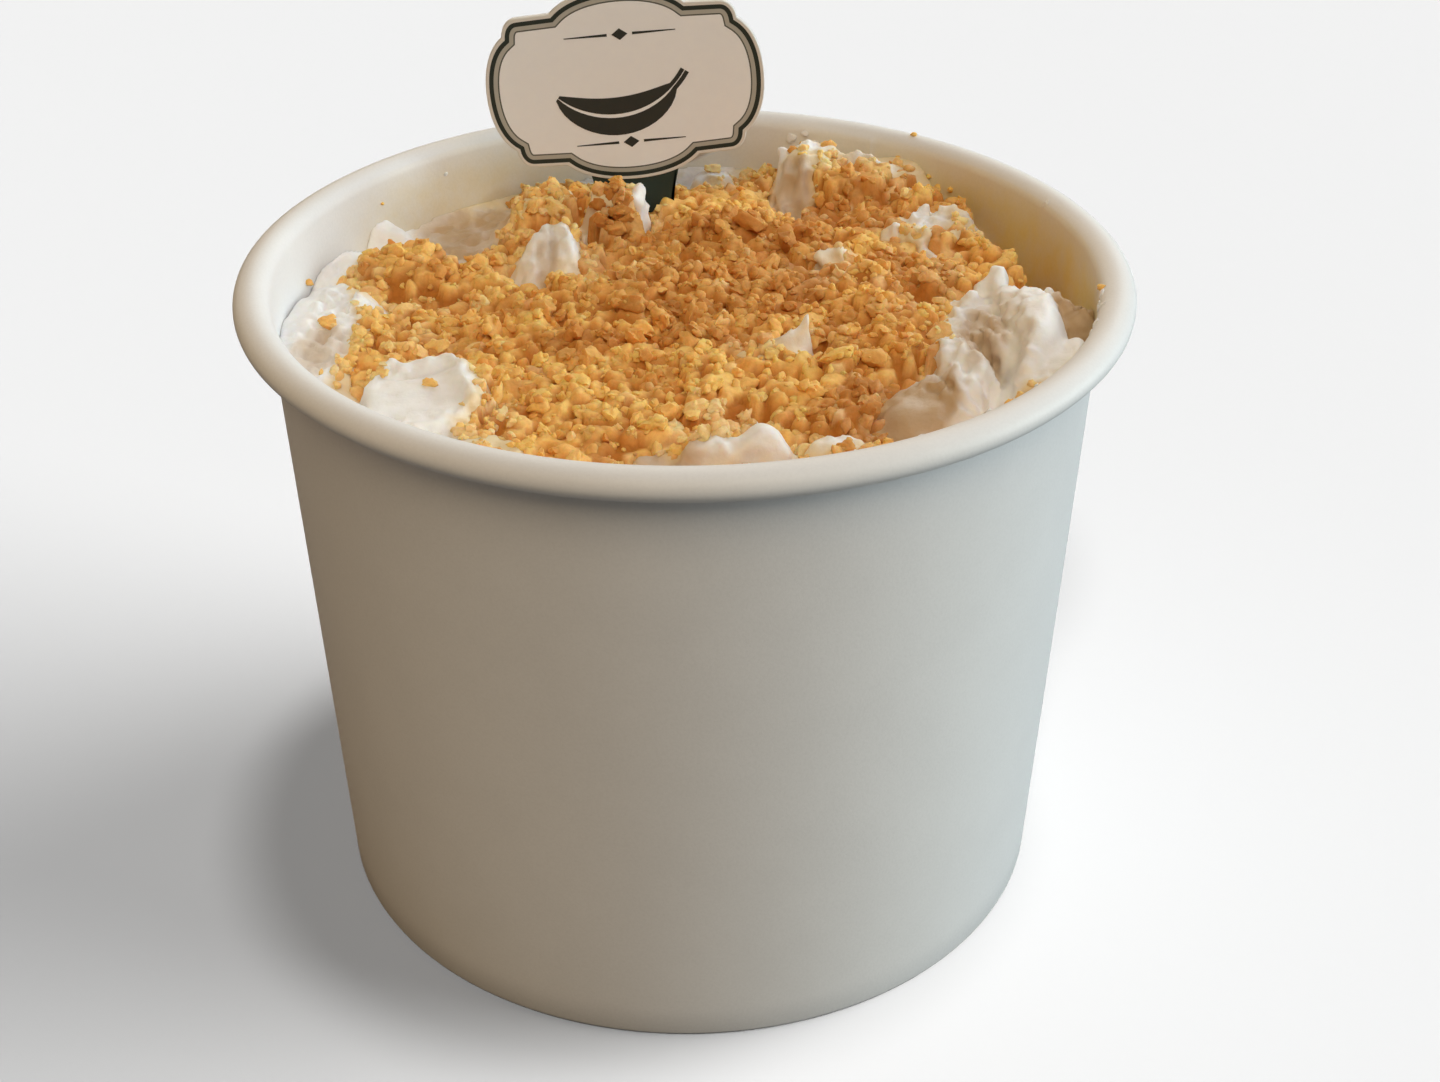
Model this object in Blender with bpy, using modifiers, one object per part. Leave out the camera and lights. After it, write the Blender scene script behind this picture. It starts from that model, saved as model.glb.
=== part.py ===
"""Banana pudding in a paper cup, with a cookie crumb topping and a sign on a stake.

The cup stands on z = 0 with its axis on the Z axis, and its front faces -Y. Metres, +Z up.
Run it with blender --background --python part.py, or from Blender's text editor.
"""

import math
import random

import bmesh
import bpy
from mathutils import Vector, noise

MM = 0.001
GAP = 0.3 * MM  # kept between two pieces that touch

# Paper cup
PAPER = 0.45 * MM
BASE_RADIUS = 42.3 * MM  # outside of the wall at the table
TOP_RADIUS = 45.5 * MM  # outside of the wall at the middle of the rim roll
RIM_RADIUS = 49.0 * MM
RIM_Z = 73.4 * MM  # middle of the rim roll
RIM_HALF_HEIGHT = 1.6 * MM
RIM_HALF_WIDTH = (RIM_RADIUS - TOP_RADIUS + PAPER) / 2
RIM_END_ANGLE = -128  # degrees round the roll at which the paper ends under the rim
FLOOR_UNDER = 5.5 * MM  # height of the recess under the floor
SKIRT = 1.4 * MM  # wall, floor edge and folded wall together, which the cup stands on
CUP_STEPS = 52
CURL_POINTS = 13  # along the outside of the roll
CURL_INNER_POINTS = 9  # along the inside of the roll

# Pudding
FILL_LEVEL = 66.2 * MM  # the surface under the crumbs, at the axis
RISE_RIGHT = 0.040  # the surface is higher to the right and to the back
RISE_BACK = 0.020
PUDDING_CELLS = 34
ROUGHNESS = 0.5 * MM

# Each form of the whipped surface: x, y, half length, half width, turn in degrees, height (mm)
MOUNDS = {
    "left front mound": (-28.0, -17.5, 12.0, 9.0, -25, 5.2),
    "cream along the left rim": (-20.0, -28.5, 10.0, 6.0, -35, 3.2),
    "cream by the left wall": (-39.0, -2.0, 17.0, 7.5, 90, 2.6),
    "back left bump": (-31.0, 29.5, 9.0, 6.0, 40, 3.6),
    "left ridge": (-33.5, 10.5, 4.5, 2.2, 5, 2.6),
    "twin peak": (-16.6, 18.0, 4.2, 6.5, -15, 6.0),
    "twin peak, behind": (-21.0, 32.0, 6.0, 5.0, 0, 4.4),
    "chunk before the sign": (-7.8, 25.8, 4.0, 3.2, 0, 8.4),
    "lump behind the sign": (3.5, 39.0, 3.6, 3.0, 0, 4.2),
    "back pile": (14.5, 36.0, 7.5, 6.0, 10, 7.2),
    "back pile ridge": (24.5, 33.0, 7.0, 4.0, -25, 4.0),
    "smear on the right": (30.5, 22.3, 7.5, 3.4, -15, 4.2),
    "small spot": (16.7, 12.2, 2.6, 2.6, 0, 5.2),
    "smaller spot": (15.9, 1.8, 2.4, 2.2, 0, 5.2),
    "pointed curl": (12.2, -10.2, 3.8, 2.6, 20, 8.6),
    "right swirl": (31.5, -11.0, 11.5, 15.5, -12, 5.2),
    "right swirl, front lobe": (26.0, -20.5, 8.0, 6.0, 35, 3.0),
    "front peak": (5.8, -31.8, 6.0, 4.6, 0, 5.4),
    "front left spot": (-3.8, -31.0, 5.0, 4.2, 0, 3.8),
    "front right spot": (14.4, -31.8, 4.0, 3.0, 0, 4.0),
}
SWIRL_CENTRE = (33.0, -11.5)  # mm, the fold that runs round the right swirl
SWIRL_RADIUS = 7.5
SWIRL_HEIGHT = 2.0
SWIRL_WIDTH = 2.6

# Crumb topping
CRUMB_DEPTH = 2.3 * MM  # of the layer, above the pudding
CRUMB_DOME = 1.6 * MM  # how much it is heaped in the middle
CRUMB_DOME_RADIUS = 19.0 * MM
CRUMB_EDGE_GAP = 0.9 * MM  # from the cup's wall
CRUMB_CELLS = 30
CRUMB_BUMP = 1.5 * MM
CRUMB_UNDERSIDE = 60.0 * MM  # where the layer starts before the pudding is cut from it
# Where no crumbs lie beside the mounds: x, y, radius (mm)
BARE = {
    "left wall": (-45.0, -4.0, 15.0),
    "left wall, higher up": (-46.0, 14.0, 9.0),
    "back left": (-33.0, 32.0, 10.5),
    "left front": (-31.0, -24.0, 12.0),
    "right wall": (46.0, -8.0, 14.0),
    "back of the sign": (0.0, 45.0, 6.5),
}
BARE_DROP = 7.0 * MM

# The largest crumbs, which are fused on
LARGE_CRUMBS = 56
LARGEST_CRUMB = 2.4 * MM  # mean radius
SMALLEST_CRUMB = 1.1 * MM
CRUMB_SPREAD = 0.84  # share of the cup's radius that they are drawn from
CRUMB_SPACING = 0.80  # least distance between two, as a share of their radii together
CRUMB_SEED = 7

# Crumbs that lie apart on the cream: x, y, radius (mm)
STRAY_CRUMBS = (
    (-40.0, 4.6, 1.3),
    (-31.5, -15.5, 0.9),
)

# Sign: one flat pick, a scalloped plate with its stake
SIGN_THICKNESS = 0.9 * MM
SIGN_CENTRE = Vector((-7.07, 29.45, 84.48)) * MM
SIGN_ROLL = 5.0  # degrees, the right side is the higher one
PLATE_HALF_WIDTH = 16.6
PLATE_HALF_HEIGHT = 11.8
NOTCH_SIDE = (13.9, 7.0)  # where the side bulge meets the corner
CORNER_END = (11.9, 9.2)
NOTCH_TOP = (8.0, 9.35)  # where the top bulge meets the shoulder
STAKE_HALF_WIDTH = 5.3
STAKE_TOP = 11.05  # below the plate's middle
STAKE_BEND = (3.0, 19.0)  # half width and depth at which the taper gets slower
STAKE_TIP = 39.0
ARC_STEPS = 7


def clear_scene():
    for obj in list(bpy.data.objects):
        bpy.data.objects.remove(obj, do_unlink=True)


def new_collection(name, helper=False):
    collection = bpy.data.collections.new(name)
    bpy.context.scene.collection.children.link(collection)
    collection.hide_render = helper
    return collection


def material(name, colour, roughness):
    made = bpy.data.materials.new(name)
    made.use_nodes = True
    shader = made.node_tree.nodes["Principled BSDF"]
    shader.inputs["Base Color"].default_value = (*colour, 1.0)
    shader.inputs["Roughness"].default_value = roughness
    shader.inputs["Metallic"].default_value = 0.0
    made.diffuse_color = (*colour, 1.0)
    return made


def mesh_object(name, bm, collection, surface=None):
    mesh = bpy.data.meshes.new(name)
    bm.to_mesh(mesh)
    bm.free()
    obj = bpy.data.objects.new(name, mesh)
    collection.objects.link(obj)
    if surface:
        mesh.materials.append(surface)
    return obj


def apply_modifiers(obj):
    graph = bpy.context.evaluated_depsgraph_get()
    made = bpy.data.meshes.new_from_object(obj.evaluated_get(graph))
    obj.modifiers.clear()
    obj.data = made


def boolean(obj, operation, other):
    """Cuts or joins another object or a whole collection, and applies it."""
    modifier = obj.modifiers.new(operation.title(), "BOOLEAN")
    modifier.operation = operation
    modifier.solver = "MANIFOLD"
    if isinstance(other, bpy.types.Collection):
        modifier.operand_type = "COLLECTION"
        modifier.collection = other
    else:
        modifier.object = other
    apply_modifiers(obj)


def remove_objects(collection):
    for obj in list(collection.objects):
        bpy.data.objects.remove(obj, do_unlink=True)


def keep_largest_body(obj):
    """Drops the loose scraps that a cut leaves."""
    bm = bmesh.new()
    bm.from_mesh(obj.data)
    left = set(bm.verts)
    bodies = []
    while left:
        body = {left.pop()}
        edge = set(body)
        while edge:
            edge = {e.other_vert(v) for v in edge for e in v.link_edges} - body
            body |= edge
        left -= body
        bodies.append(body)
    bodies.sort(key=len)
    scraps = [v for body in bodies[:-1] for v in body]
    bmesh.ops.delete(bm, geom=scraps, context="VERTS")
    bm.to_mesh(obj.data)
    bm.free()


def shade_smooth(obj):
    for face in obj.data.polygons:
        face.use_smooth = True


def wall_radius(z):
    """Outside of the paper wall."""
    return BASE_RADIUS + (TOP_RADIUS - BASE_RADIUS) * z / RIM_Z


def inner_radius(z):
    return wall_radius(z) - PAPER


def ellipse_points(half_width, half_height, start, end, count):
    """Points round the rim roll, by angle in degrees."""
    centre = RIM_RADIUS - RIM_HALF_WIDTH
    points = []
    for i in range(count):
        angle = math.radians(start + (end - start) * i / (count - 1))
        x = centre + half_width * math.cos(angle)
        z = RIM_Z + half_height * math.sin(angle)
        points.append((x, z))
    return points


def build_cup(collection):
    """Floor, inside of the wall, rolled rim, outside of the wall and skirt as one profile."""
    floor_top = FLOOR_UNDER + PAPER
    profile = [(0.0, floor_top), (inner_radius(floor_top), floor_top)]
    profile += ellipse_points(RIM_HALF_WIDTH, RIM_HALF_HEIGHT, 180, RIM_END_ANGLE, CURL_POINTS)
    profile += ellipse_points(
        RIM_HALF_WIDTH - PAPER, RIM_HALF_HEIGHT - PAPER, RIM_END_ANGLE, 180, CURL_INNER_POINTS
    )
    profile += [
        (BASE_RADIUS, 0.0),
        (BASE_RADIUS - SKIRT, 0.0),
        (wall_radius(FLOOR_UNDER) - SKIRT, FLOOR_UNDER),
        (0.0, FLOOR_UNDER),
    ]
    bm = bmesh.new()
    verts = [bm.verts.new((x, 0.0, z)) for x, z in profile]
    for a, b in zip(verts, verts[1:]):
        bm.edges.new((a, b))
    surface = material("white paper", (0.80, 0.79, 0.76), 0.55)
    cup = mesh_object("cup", bm, collection, surface)
    screw = cup.modifiers.new("Turn", "SCREW")
    screw.steps = CUP_STEPS
    screw.render_steps = CUP_STEPS
    screw.use_merge_vertices = True
    screw.merge_threshold = 0.00001
    screw.use_smooth_shade = True
    return cup


def mound_height(x, y, mound):
    """A rounded form whose height falls to nothing at its edge."""
    centre_x, centre_y, half_length, half_width, turn, height = mound
    angle = math.radians(turn)
    dx = x - centre_x
    dy = y - centre_y
    along = (dx * math.cos(angle) + dy * math.sin(angle)) / half_length
    across = (dy * math.cos(angle) - dx * math.sin(angle)) / half_width
    inside = max(0.0, 1.0 - along * along - across * across)
    return height * MM * inside**1.5


def base_level(x, y):
    return FILL_LEVEL + RISE_RIGHT * x * MM + RISE_BACK * y * MM


def swirl_fold(x, y):
    """The ridge that curls round the right swirl, highest on its outer side."""
    dx = x - SWIRL_CENTRE[0]
    dy = y - SWIRL_CENTRE[1]
    from_ridge = math.hypot(dx, dy) - SWIRL_RADIUS
    rising = 0.5 + 0.5 * math.cos(math.atan2(dy, dx) - math.radians(40))
    return SWIRL_HEIGHT * MM * rising * math.exp(-((from_ridge / SWIRL_WIDTH) ** 2))


def cream_surface(x, y):
    """Height of the pudding at x and y in millimetres."""
    highest = max(mound_height(x, y, mound) for mound in MOUNDS.values())
    uneven = ROUGHNESS * noise.noise(Vector((x, y, 0.0)) / 6.0)
    return base_level(x, y) + highest + swirl_fold(x, y) + uneven


def bareness(x, y):
    """1 in the middle of a place without crumbs, 0 outside all of them."""
    most = 0.0
    for centre_x, centre_y, radius in BARE.values():
        distance = math.hypot(x - centre_x, y - centre_y) / radius
        most = max(most, 1.0 - distance**3)
    return most


def crumb_surface(x, y):
    """Height of the crumb layer at x and y in millimetres."""
    dome = math.exp(-((x * x + y * y) * MM * MM) / (2 * CRUMB_DOME_RADIUS**2))
    bump = CRUMB_BUMP * noise.noise(Vector((x, y, 9.0)) / 1.3)
    top = base_level(x, y) + CRUMB_DEPTH + CRUMB_DOME * dome + bump
    on_cream = 0.35 * max(mound_height(x, y, MOUNDS[name]) for name in ("back pile", "back pile ridge"))
    return top + on_cream - BARE_DROP * bareness(x, y)


def filled_disc(name, cells, surface_height, edge_gap, bottom, collection, surface=None):
    """A closed body as wide as the cup's inside: an uneven top, a side that follows the wall
    and a flat bottom. The top is a square grid drawn out to a disc."""
    bm = bmesh.new()
    bmesh.ops.create_grid(bm, x_segments=cells, y_segments=cells, size=1.0)
    rim = [edge for edge in bm.edges if edge.is_boundary]
    for vert in bm.verts:
        u, v, _ = vert.co
        x = u * math.sqrt(1 - v * v / 2)
        y = v * math.sqrt(1 - u * u / 2)
        radius = inner_radius(FILL_LEVEL) - edge_gap
        z = surface_height(x * radius / MM, y * radius / MM)
        radius = inner_radius(z) - edge_gap
        vert.co = (x * radius, y * radius, z)
    down = bmesh.ops.extrude_edge_only(bm, edges=rim)["geom"]
    lower = [part for part in down if isinstance(part, bmesh.types.BMVert)]
    for vert in lower:
        scale = (inner_radius(bottom) - edge_gap) / vert.co.xy.length
        vert.co = (vert.co.x * scale, vert.co.y * scale, bottom)
    open_edges = [edge for edge in bm.edges if edge.is_boundary]
    bmesh.ops.holes_fill(bm, edges=open_edges, sides=0)
    bmesh.ops.triangulate(bm, faces=bm.faces)
    bmesh.ops.recalc_face_normals(bm, faces=bm.faces)
    return mesh_object(name, bm, collection, surface)


def crumb_piece(place, radius, draw, collection):
    """One angular crumb: a twenty-sided ball, squashed, turned and made uneven."""
    bm = bmesh.new()
    bmesh.ops.create_icosphere(bm, subdivisions=1, radius=radius)
    for vert in bm.verts:
        vert.co *= draw.uniform(0.82, 1.12)
    crumb = mesh_object("crumb", bm, collection)
    crumb.scale = (draw.uniform(0.85, 1.2), draw.uniform(0.8, 1.1), draw.uniform(0.7, 0.95))
    crumb.rotation_euler = [draw.uniform(0, math.tau) for _ in range(3)]
    crumb.location = place
    return crumb


def add_large_crumbs(topping):
    """Fuses the largest crumbs on, coarser in the middle and at the back as in the real heap."""
    draw = random.Random(CRUMB_SEED)
    heap = new_collection("large crumbs")
    reach = inner_radius(FILL_LEVEL) / MM * CRUMB_SPREAD
    placed = []
    tries = 0
    while len(placed) < LARGE_CRUMBS and tries < LARGE_CRUMBS * 60:
        tries += 1
        distance = reach * math.sqrt(draw.random())
        angle = draw.uniform(0, math.tau)
        x = distance * math.cos(angle)
        y = distance * math.sin(angle)
        middle = math.exp(-(x * x + (y - 8) ** 2) / 500.0)
        share = min(1.0, draw.random() * (0.35 + 0.9 * middle))
        radius = SMALLEST_CRUMB + (LARGEST_CRUMB - SMALLEST_CRUMB) * share
        room = radius / MM
        clear = [cream_surface(x + dx, y + dy) < crumb_surface(x + dx, y + dy) - 1.0 * MM
                 for dx, dy in ((room, 0), (-room, 0), (0, room), (0, -room))]
        if not all(clear):
            continue
        if any(math.hypot(x - px, y - py) < CRUMB_SPACING * (room + pr) for px, py, pr in placed):
            continue
        placed.append((x, y, room))
        height = crumb_surface(x, y) + 0.25 * radius
        crumb_piece((x * MM, y * MM, height), radius, draw, heap)
    boolean(topping, "UNION", heap)
    remove_objects(heap)
    bpy.data.collections.remove(heap)


def build_topping(pudding, sign_cutter, collection, helpers):
    """The crumb layer: a core with crumb-sized bumps, less the pudding under it, and crumbs on it."""
    surface = material("cookie crumbs", (0.62, 0.35, 0.12), 0.9)
    topping = filled_disc(
        "crumb_topping", CRUMB_CELLS, crumb_surface, CRUMB_EDGE_GAP, CRUMB_UNDERSIDE, collection, surface
    )
    add_large_crumbs(topping)
    cutter = pudding.copy()
    cutter.data = pudding.data.copy()
    cutter.name = "pudding_cutter"
    cutter.location.z += GAP
    cutter.display_type = "WIRE"
    helpers.objects.link(cutter)
    bpy.context.view_layer.update()
    boolean(topping, "DIFFERENCE", cutter)
    boolean(topping, "DIFFERENCE", sign_cutter)
    keep_largest_body(topping)
    return topping


def build_pudding(sign_cutter, collection):
    surface = material("whipped pudding", (0.83, 0.78, 0.70), 0.6)
    bottom = FLOOR_UNDER + PAPER + GAP
    pudding = filled_disc("pudding", PUDDING_CELLS, cream_surface, GAP, bottom, collection, surface)
    draw = random.Random(CRUMB_SEED + 1)
    strays = new_collection("stray crumbs")
    for x, y, radius in STRAY_CRUMBS:
        place = Vector((x * MM, y * MM, cream_surface(x, y) + 0.3 * radius * MM))
        crumb_piece(place, radius * MM, draw, strays)
    boolean(pudding, "UNION", strays)
    remove_objects(strays)
    bpy.data.collections.remove(strays)
    boolean(pudding, "DIFFERENCE", sign_cutter)
    return pudding


def bezier(start, first, second, end, steps):
    """Points on a cubic curve, without its last one."""
    points = []
    for i in range(steps):
        t = i / steps
        weights = ((1 - t) ** 3, 3 * t * (1 - t) ** 2, 3 * t * t * (1 - t), t**3)
        pairs = zip(*(start, first, second, end))
        points.append(tuple(sum(w * c for w, c in zip(weights, axis)) for axis in pairs))
    return points


def plate_quarter():
    """The upper right quarter of the plate's outline, from its right side to its top, in mm."""
    side = bezier((PLATE_HALF_WIDTH, 0.0), (PLATE_HALF_WIDTH, 3.4), (15.6, 5.8), NOTCH_SIDE, ARC_STEPS)
    corner = bezier(NOTCH_SIDE, (13.8, 8.3), (13.0, 9.2), CORNER_END, ARC_STEPS - 2)
    top = bezier(NOTCH_TOP, (6.4, 10.9), (3.6, PLATE_HALF_HEIGHT), (0.0, PLATE_HALF_HEIGHT), ARC_STEPS)
    return side + corner + [CORNER_END] + top + [(0.0, PLATE_HALF_HEIGHT)]


def sign_outline():
    """The plate with its stake, round once, in mm from the plate's middle."""
    upper = plate_quarter()
    upper += [(-x, y) for x, y in reversed(upper[:-1])]
    lower_left = [(-x, -y) for x, y in plate_quarter()[1:] if x > STAKE_HALF_WIDTH]
    lower_right = [(-x, y) for x, y in reversed(lower_left)]
    return upper + lower_left + stake_outline(0.0) + lower_right


def stake_outline(grow):
    """Down the left side of the stake, round its tip and up the right side, in mm."""
    left = [
        (-STAKE_HALF_WIDTH - grow, -STAKE_TOP),
        (-STAKE_BEND[0] - grow, -STAKE_BEND[1]),
        (-0.4 - grow, -STAKE_TIP - grow),
    ]
    return left + [(-x, y) for x, y in reversed(left)]


def flat_piece(name, outline, thickness, collection, surface=None):
    """A flat outline in the sign's plane, made a mesh of the given thickness."""
    curve = bpy.data.curves.new(name, "CURVE")
    curve.dimensions = "2D"
    curve.fill_mode = "BOTH"
    curve.extrude = thickness / 2
    spline = curve.splines.new("POLY")
    spline.points.add(len(outline) - 1)
    for point, (x, y) in zip(spline.points, outline):
        point.co = (x * MM, y * MM, 0.0, 1.0)
    spline.use_cyclic_u = True
    shape = bpy.data.objects.new(name + "_outline", curve)
    collection.objects.link(shape)
    bpy.context.view_layer.update()
    graph = bpy.context.evaluated_depsgraph_get()
    mesh = bpy.data.meshes.new_from_object(shape.evaluated_get(graph))
    bpy.data.objects.remove(shape, do_unlink=True)
    bm = bmesh.new()
    bm.from_mesh(mesh)
    bmesh.ops.remove_doubles(bm, verts=bm.verts, dist=0.00001)
    bmesh.ops.recalc_face_normals(bm, faces=bm.faces)
    piece = mesh_object(name, bm, collection, surface)
    piece.location = SIGN_CENTRE
    piece.rotation_euler = (math.radians(90), math.radians(-SIGN_ROLL), 0.0)
    bpy.context.view_layer.update()
    return piece


def build_sign(collection):
    surface = material("green card", (0.03, 0.055, 0.048), 0.5)
    return flat_piece("sign", sign_outline(), SIGN_THICKNESS, collection, surface)


def build_sign_cutter(helpers):
    """The stake with the gap round it, which is cut from the pudding and from the crumbs."""
    grow = GAP / MM
    cutter = flat_piece("sign_cutter", stake_outline(grow), SIGN_THICKNESS + 2 * GAP, helpers)
    cutter.display_type = "WIRE"
    return cutter


def main():
    clear_scene()
    parts = new_collection("banana pudding")
    helpers = new_collection("cutters", helper=True)
    build_cup(parts)
    build_sign(parts)
    sign_cutter = build_sign_cutter(helpers)
    pudding = build_pudding(sign_cutter, parts)
    build_topping(pudding, sign_cutter, parts, helpers)
    shade_smooth(pudding)


main()
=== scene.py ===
"""Banana pudding in its paper cup: the looks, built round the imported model.

Places and sizes are in millimetres unless a name or comment says otherwise, and the meshes are
turned into metres when they are made. The cup stands on z = 0, its axis is Z and its front is -Y.
"""

import random
from contextlib import contextmanager
from math import cos, exp, hypot, pi, radians, sin, sqrt, tau

import bmesh
import bpy
import numpy as np
from mathutils import Matrix, Vector, noise
from mathutils.bvhtree import BVHTree


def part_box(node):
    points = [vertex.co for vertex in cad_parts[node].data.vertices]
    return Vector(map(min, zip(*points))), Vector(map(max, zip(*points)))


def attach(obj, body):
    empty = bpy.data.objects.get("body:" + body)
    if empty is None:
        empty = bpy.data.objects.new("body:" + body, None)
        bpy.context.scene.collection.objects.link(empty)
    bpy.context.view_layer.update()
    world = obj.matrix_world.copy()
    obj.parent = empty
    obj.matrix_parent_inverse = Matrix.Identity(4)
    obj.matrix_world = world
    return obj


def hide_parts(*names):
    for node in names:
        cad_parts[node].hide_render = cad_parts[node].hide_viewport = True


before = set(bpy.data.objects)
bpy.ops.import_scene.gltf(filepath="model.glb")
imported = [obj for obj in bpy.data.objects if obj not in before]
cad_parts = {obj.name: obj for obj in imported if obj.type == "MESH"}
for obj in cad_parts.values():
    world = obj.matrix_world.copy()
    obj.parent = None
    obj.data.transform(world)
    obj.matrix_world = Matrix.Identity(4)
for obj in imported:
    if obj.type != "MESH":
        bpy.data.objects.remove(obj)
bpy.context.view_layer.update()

MM = 0.001
BODY = "root"

# Camera, matched to the photograph. The angles are in degrees: to the right, downwards and its roll
CAMERA_PLACE = (0.0, -212.85, 168.62)
CAMERA_YAW = 1.0134
CAMERA_PITCH = 31.424
CAMERA_ROLL = 0.0613
CAMERA_LENS = 52.5
SENSOR_WIDTH = 36.0

# Paper cup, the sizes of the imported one
PAPER = 0.45
BASE_RADIUS = 42.3
TOP_RADIUS = 45.5
RIM_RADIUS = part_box("cup")[1].x / MM
RIM_HALF_HEIGHT = 1.6
RIM_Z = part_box("cup")[1].z / MM - RIM_HALF_HEIGHT
RIM_HALF_WIDTH = (RIM_RADIUS - TOP_RADIUS + PAPER) / 2
RIM_END_ANGLE = -128
FLOOR_UNDER = 5.5
SKIRT = 1.4
# The paper's overlap: its place and width in degrees round the cup, its height, half the width of
# its edge in degrees, and how far its height fades out
SEAM_ANGLE = 67.5
SEAM_WIDTH = 9.0
SEAM_STEP = 0.28
SEAM_EDGE = 0.15
SEAM_FADE = 12
# The wall isn't quite round: by how much, and from and up to which height
OUT_OF_ROUND = 0.10
OUT_OF_ROUND_FROM = 30
OUT_OF_ROUND_TO = 70
CUP_STEPS = 288  # points round the cup

# Pudding
FILL_LEVEL = 66.2
RISE_RIGHT = 0.040
RISE_BACK = 0.020
SLAB_BOTTOM = 58.0
CREAM_CUT = 60.0
CREAM_VOXEL = 0.37
CREAM_CELLS = 264

# In the tables below, a place is x, y, half length, half width and turn in degrees. Each table is
# sorted by the part of the surface that its entries belong to

# Forms of the whipped surface: place, height, steepness. One of steepness 1 is a dome, and a
# steeper one has a flat top
MOUNDS = {
    "left front mound": [(-27.2, -19.6, 7.6, 8, -18, 4.3, 3.2)],
    "left rim and wall": [(-22, -29, 11, 5, -35, 2.8, 1.4), (-39.5, -2, 17, 7, 90, 2.9, 1.6),
        (-40, 14, 9, 4.4, 82, 2.2, 1.2)],
    "back left bump": [(-36.2, 24.6, 4.6, 3.4, -36, 2.2, 1.1)],
    "left cluster": [(-31, 11.5, 8, 4, 0, 2.4, 1.2)],
    "twin peak and behind it": [(-15.6, 15.8, 5.6, 7, 4, 5, 0.85), (-16.6, 28, 5.8, 6.2, 0, 5, 1.1)],
    "before and behind the sign": [(-8.3, 25.2, 4.2, 3.4, 0, 6.2, 1.7), (3.4, 36.6, 3.6, 3, 0, 2.9, 1.4)],
    "back pile": [(15.8, 35.6, 5.6, 7, 5, 6.2, 1.05), (20.4, 33, 9, 5.6, -14, 4.4, 1),
        (25, 33.8, 7, 4, -25, 4.2, 1.3)],
    "smear on the right": [(29, 19.2, 8, 5, -6, 3.2, 1.1)],
    "small spot": [(17, 11, 2.6, 2.2, 0, 3.6, 1.2)],
    "curl's foot": [(8.6, -11.8, 6.4, 3, 6, 2.9, 1.2)],
    "right swirl, its front slope and the wall's side": [(33.2, -9.5, 8.4, 13, -12, 2.5, 1.7),
        (25.3, -21.6, 8.4, 5.6, 42, 2.3, 1.1), (41, -3.6, 4.6, 5, -50, 2.2, 1.3)],
    "front cream": [(4.6, -31, 6.6, 3.4, 0, 3, 1.2), (14.8, -31.4, 4.5, 2.4, 0, 2.8, 1.3)],
}

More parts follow.
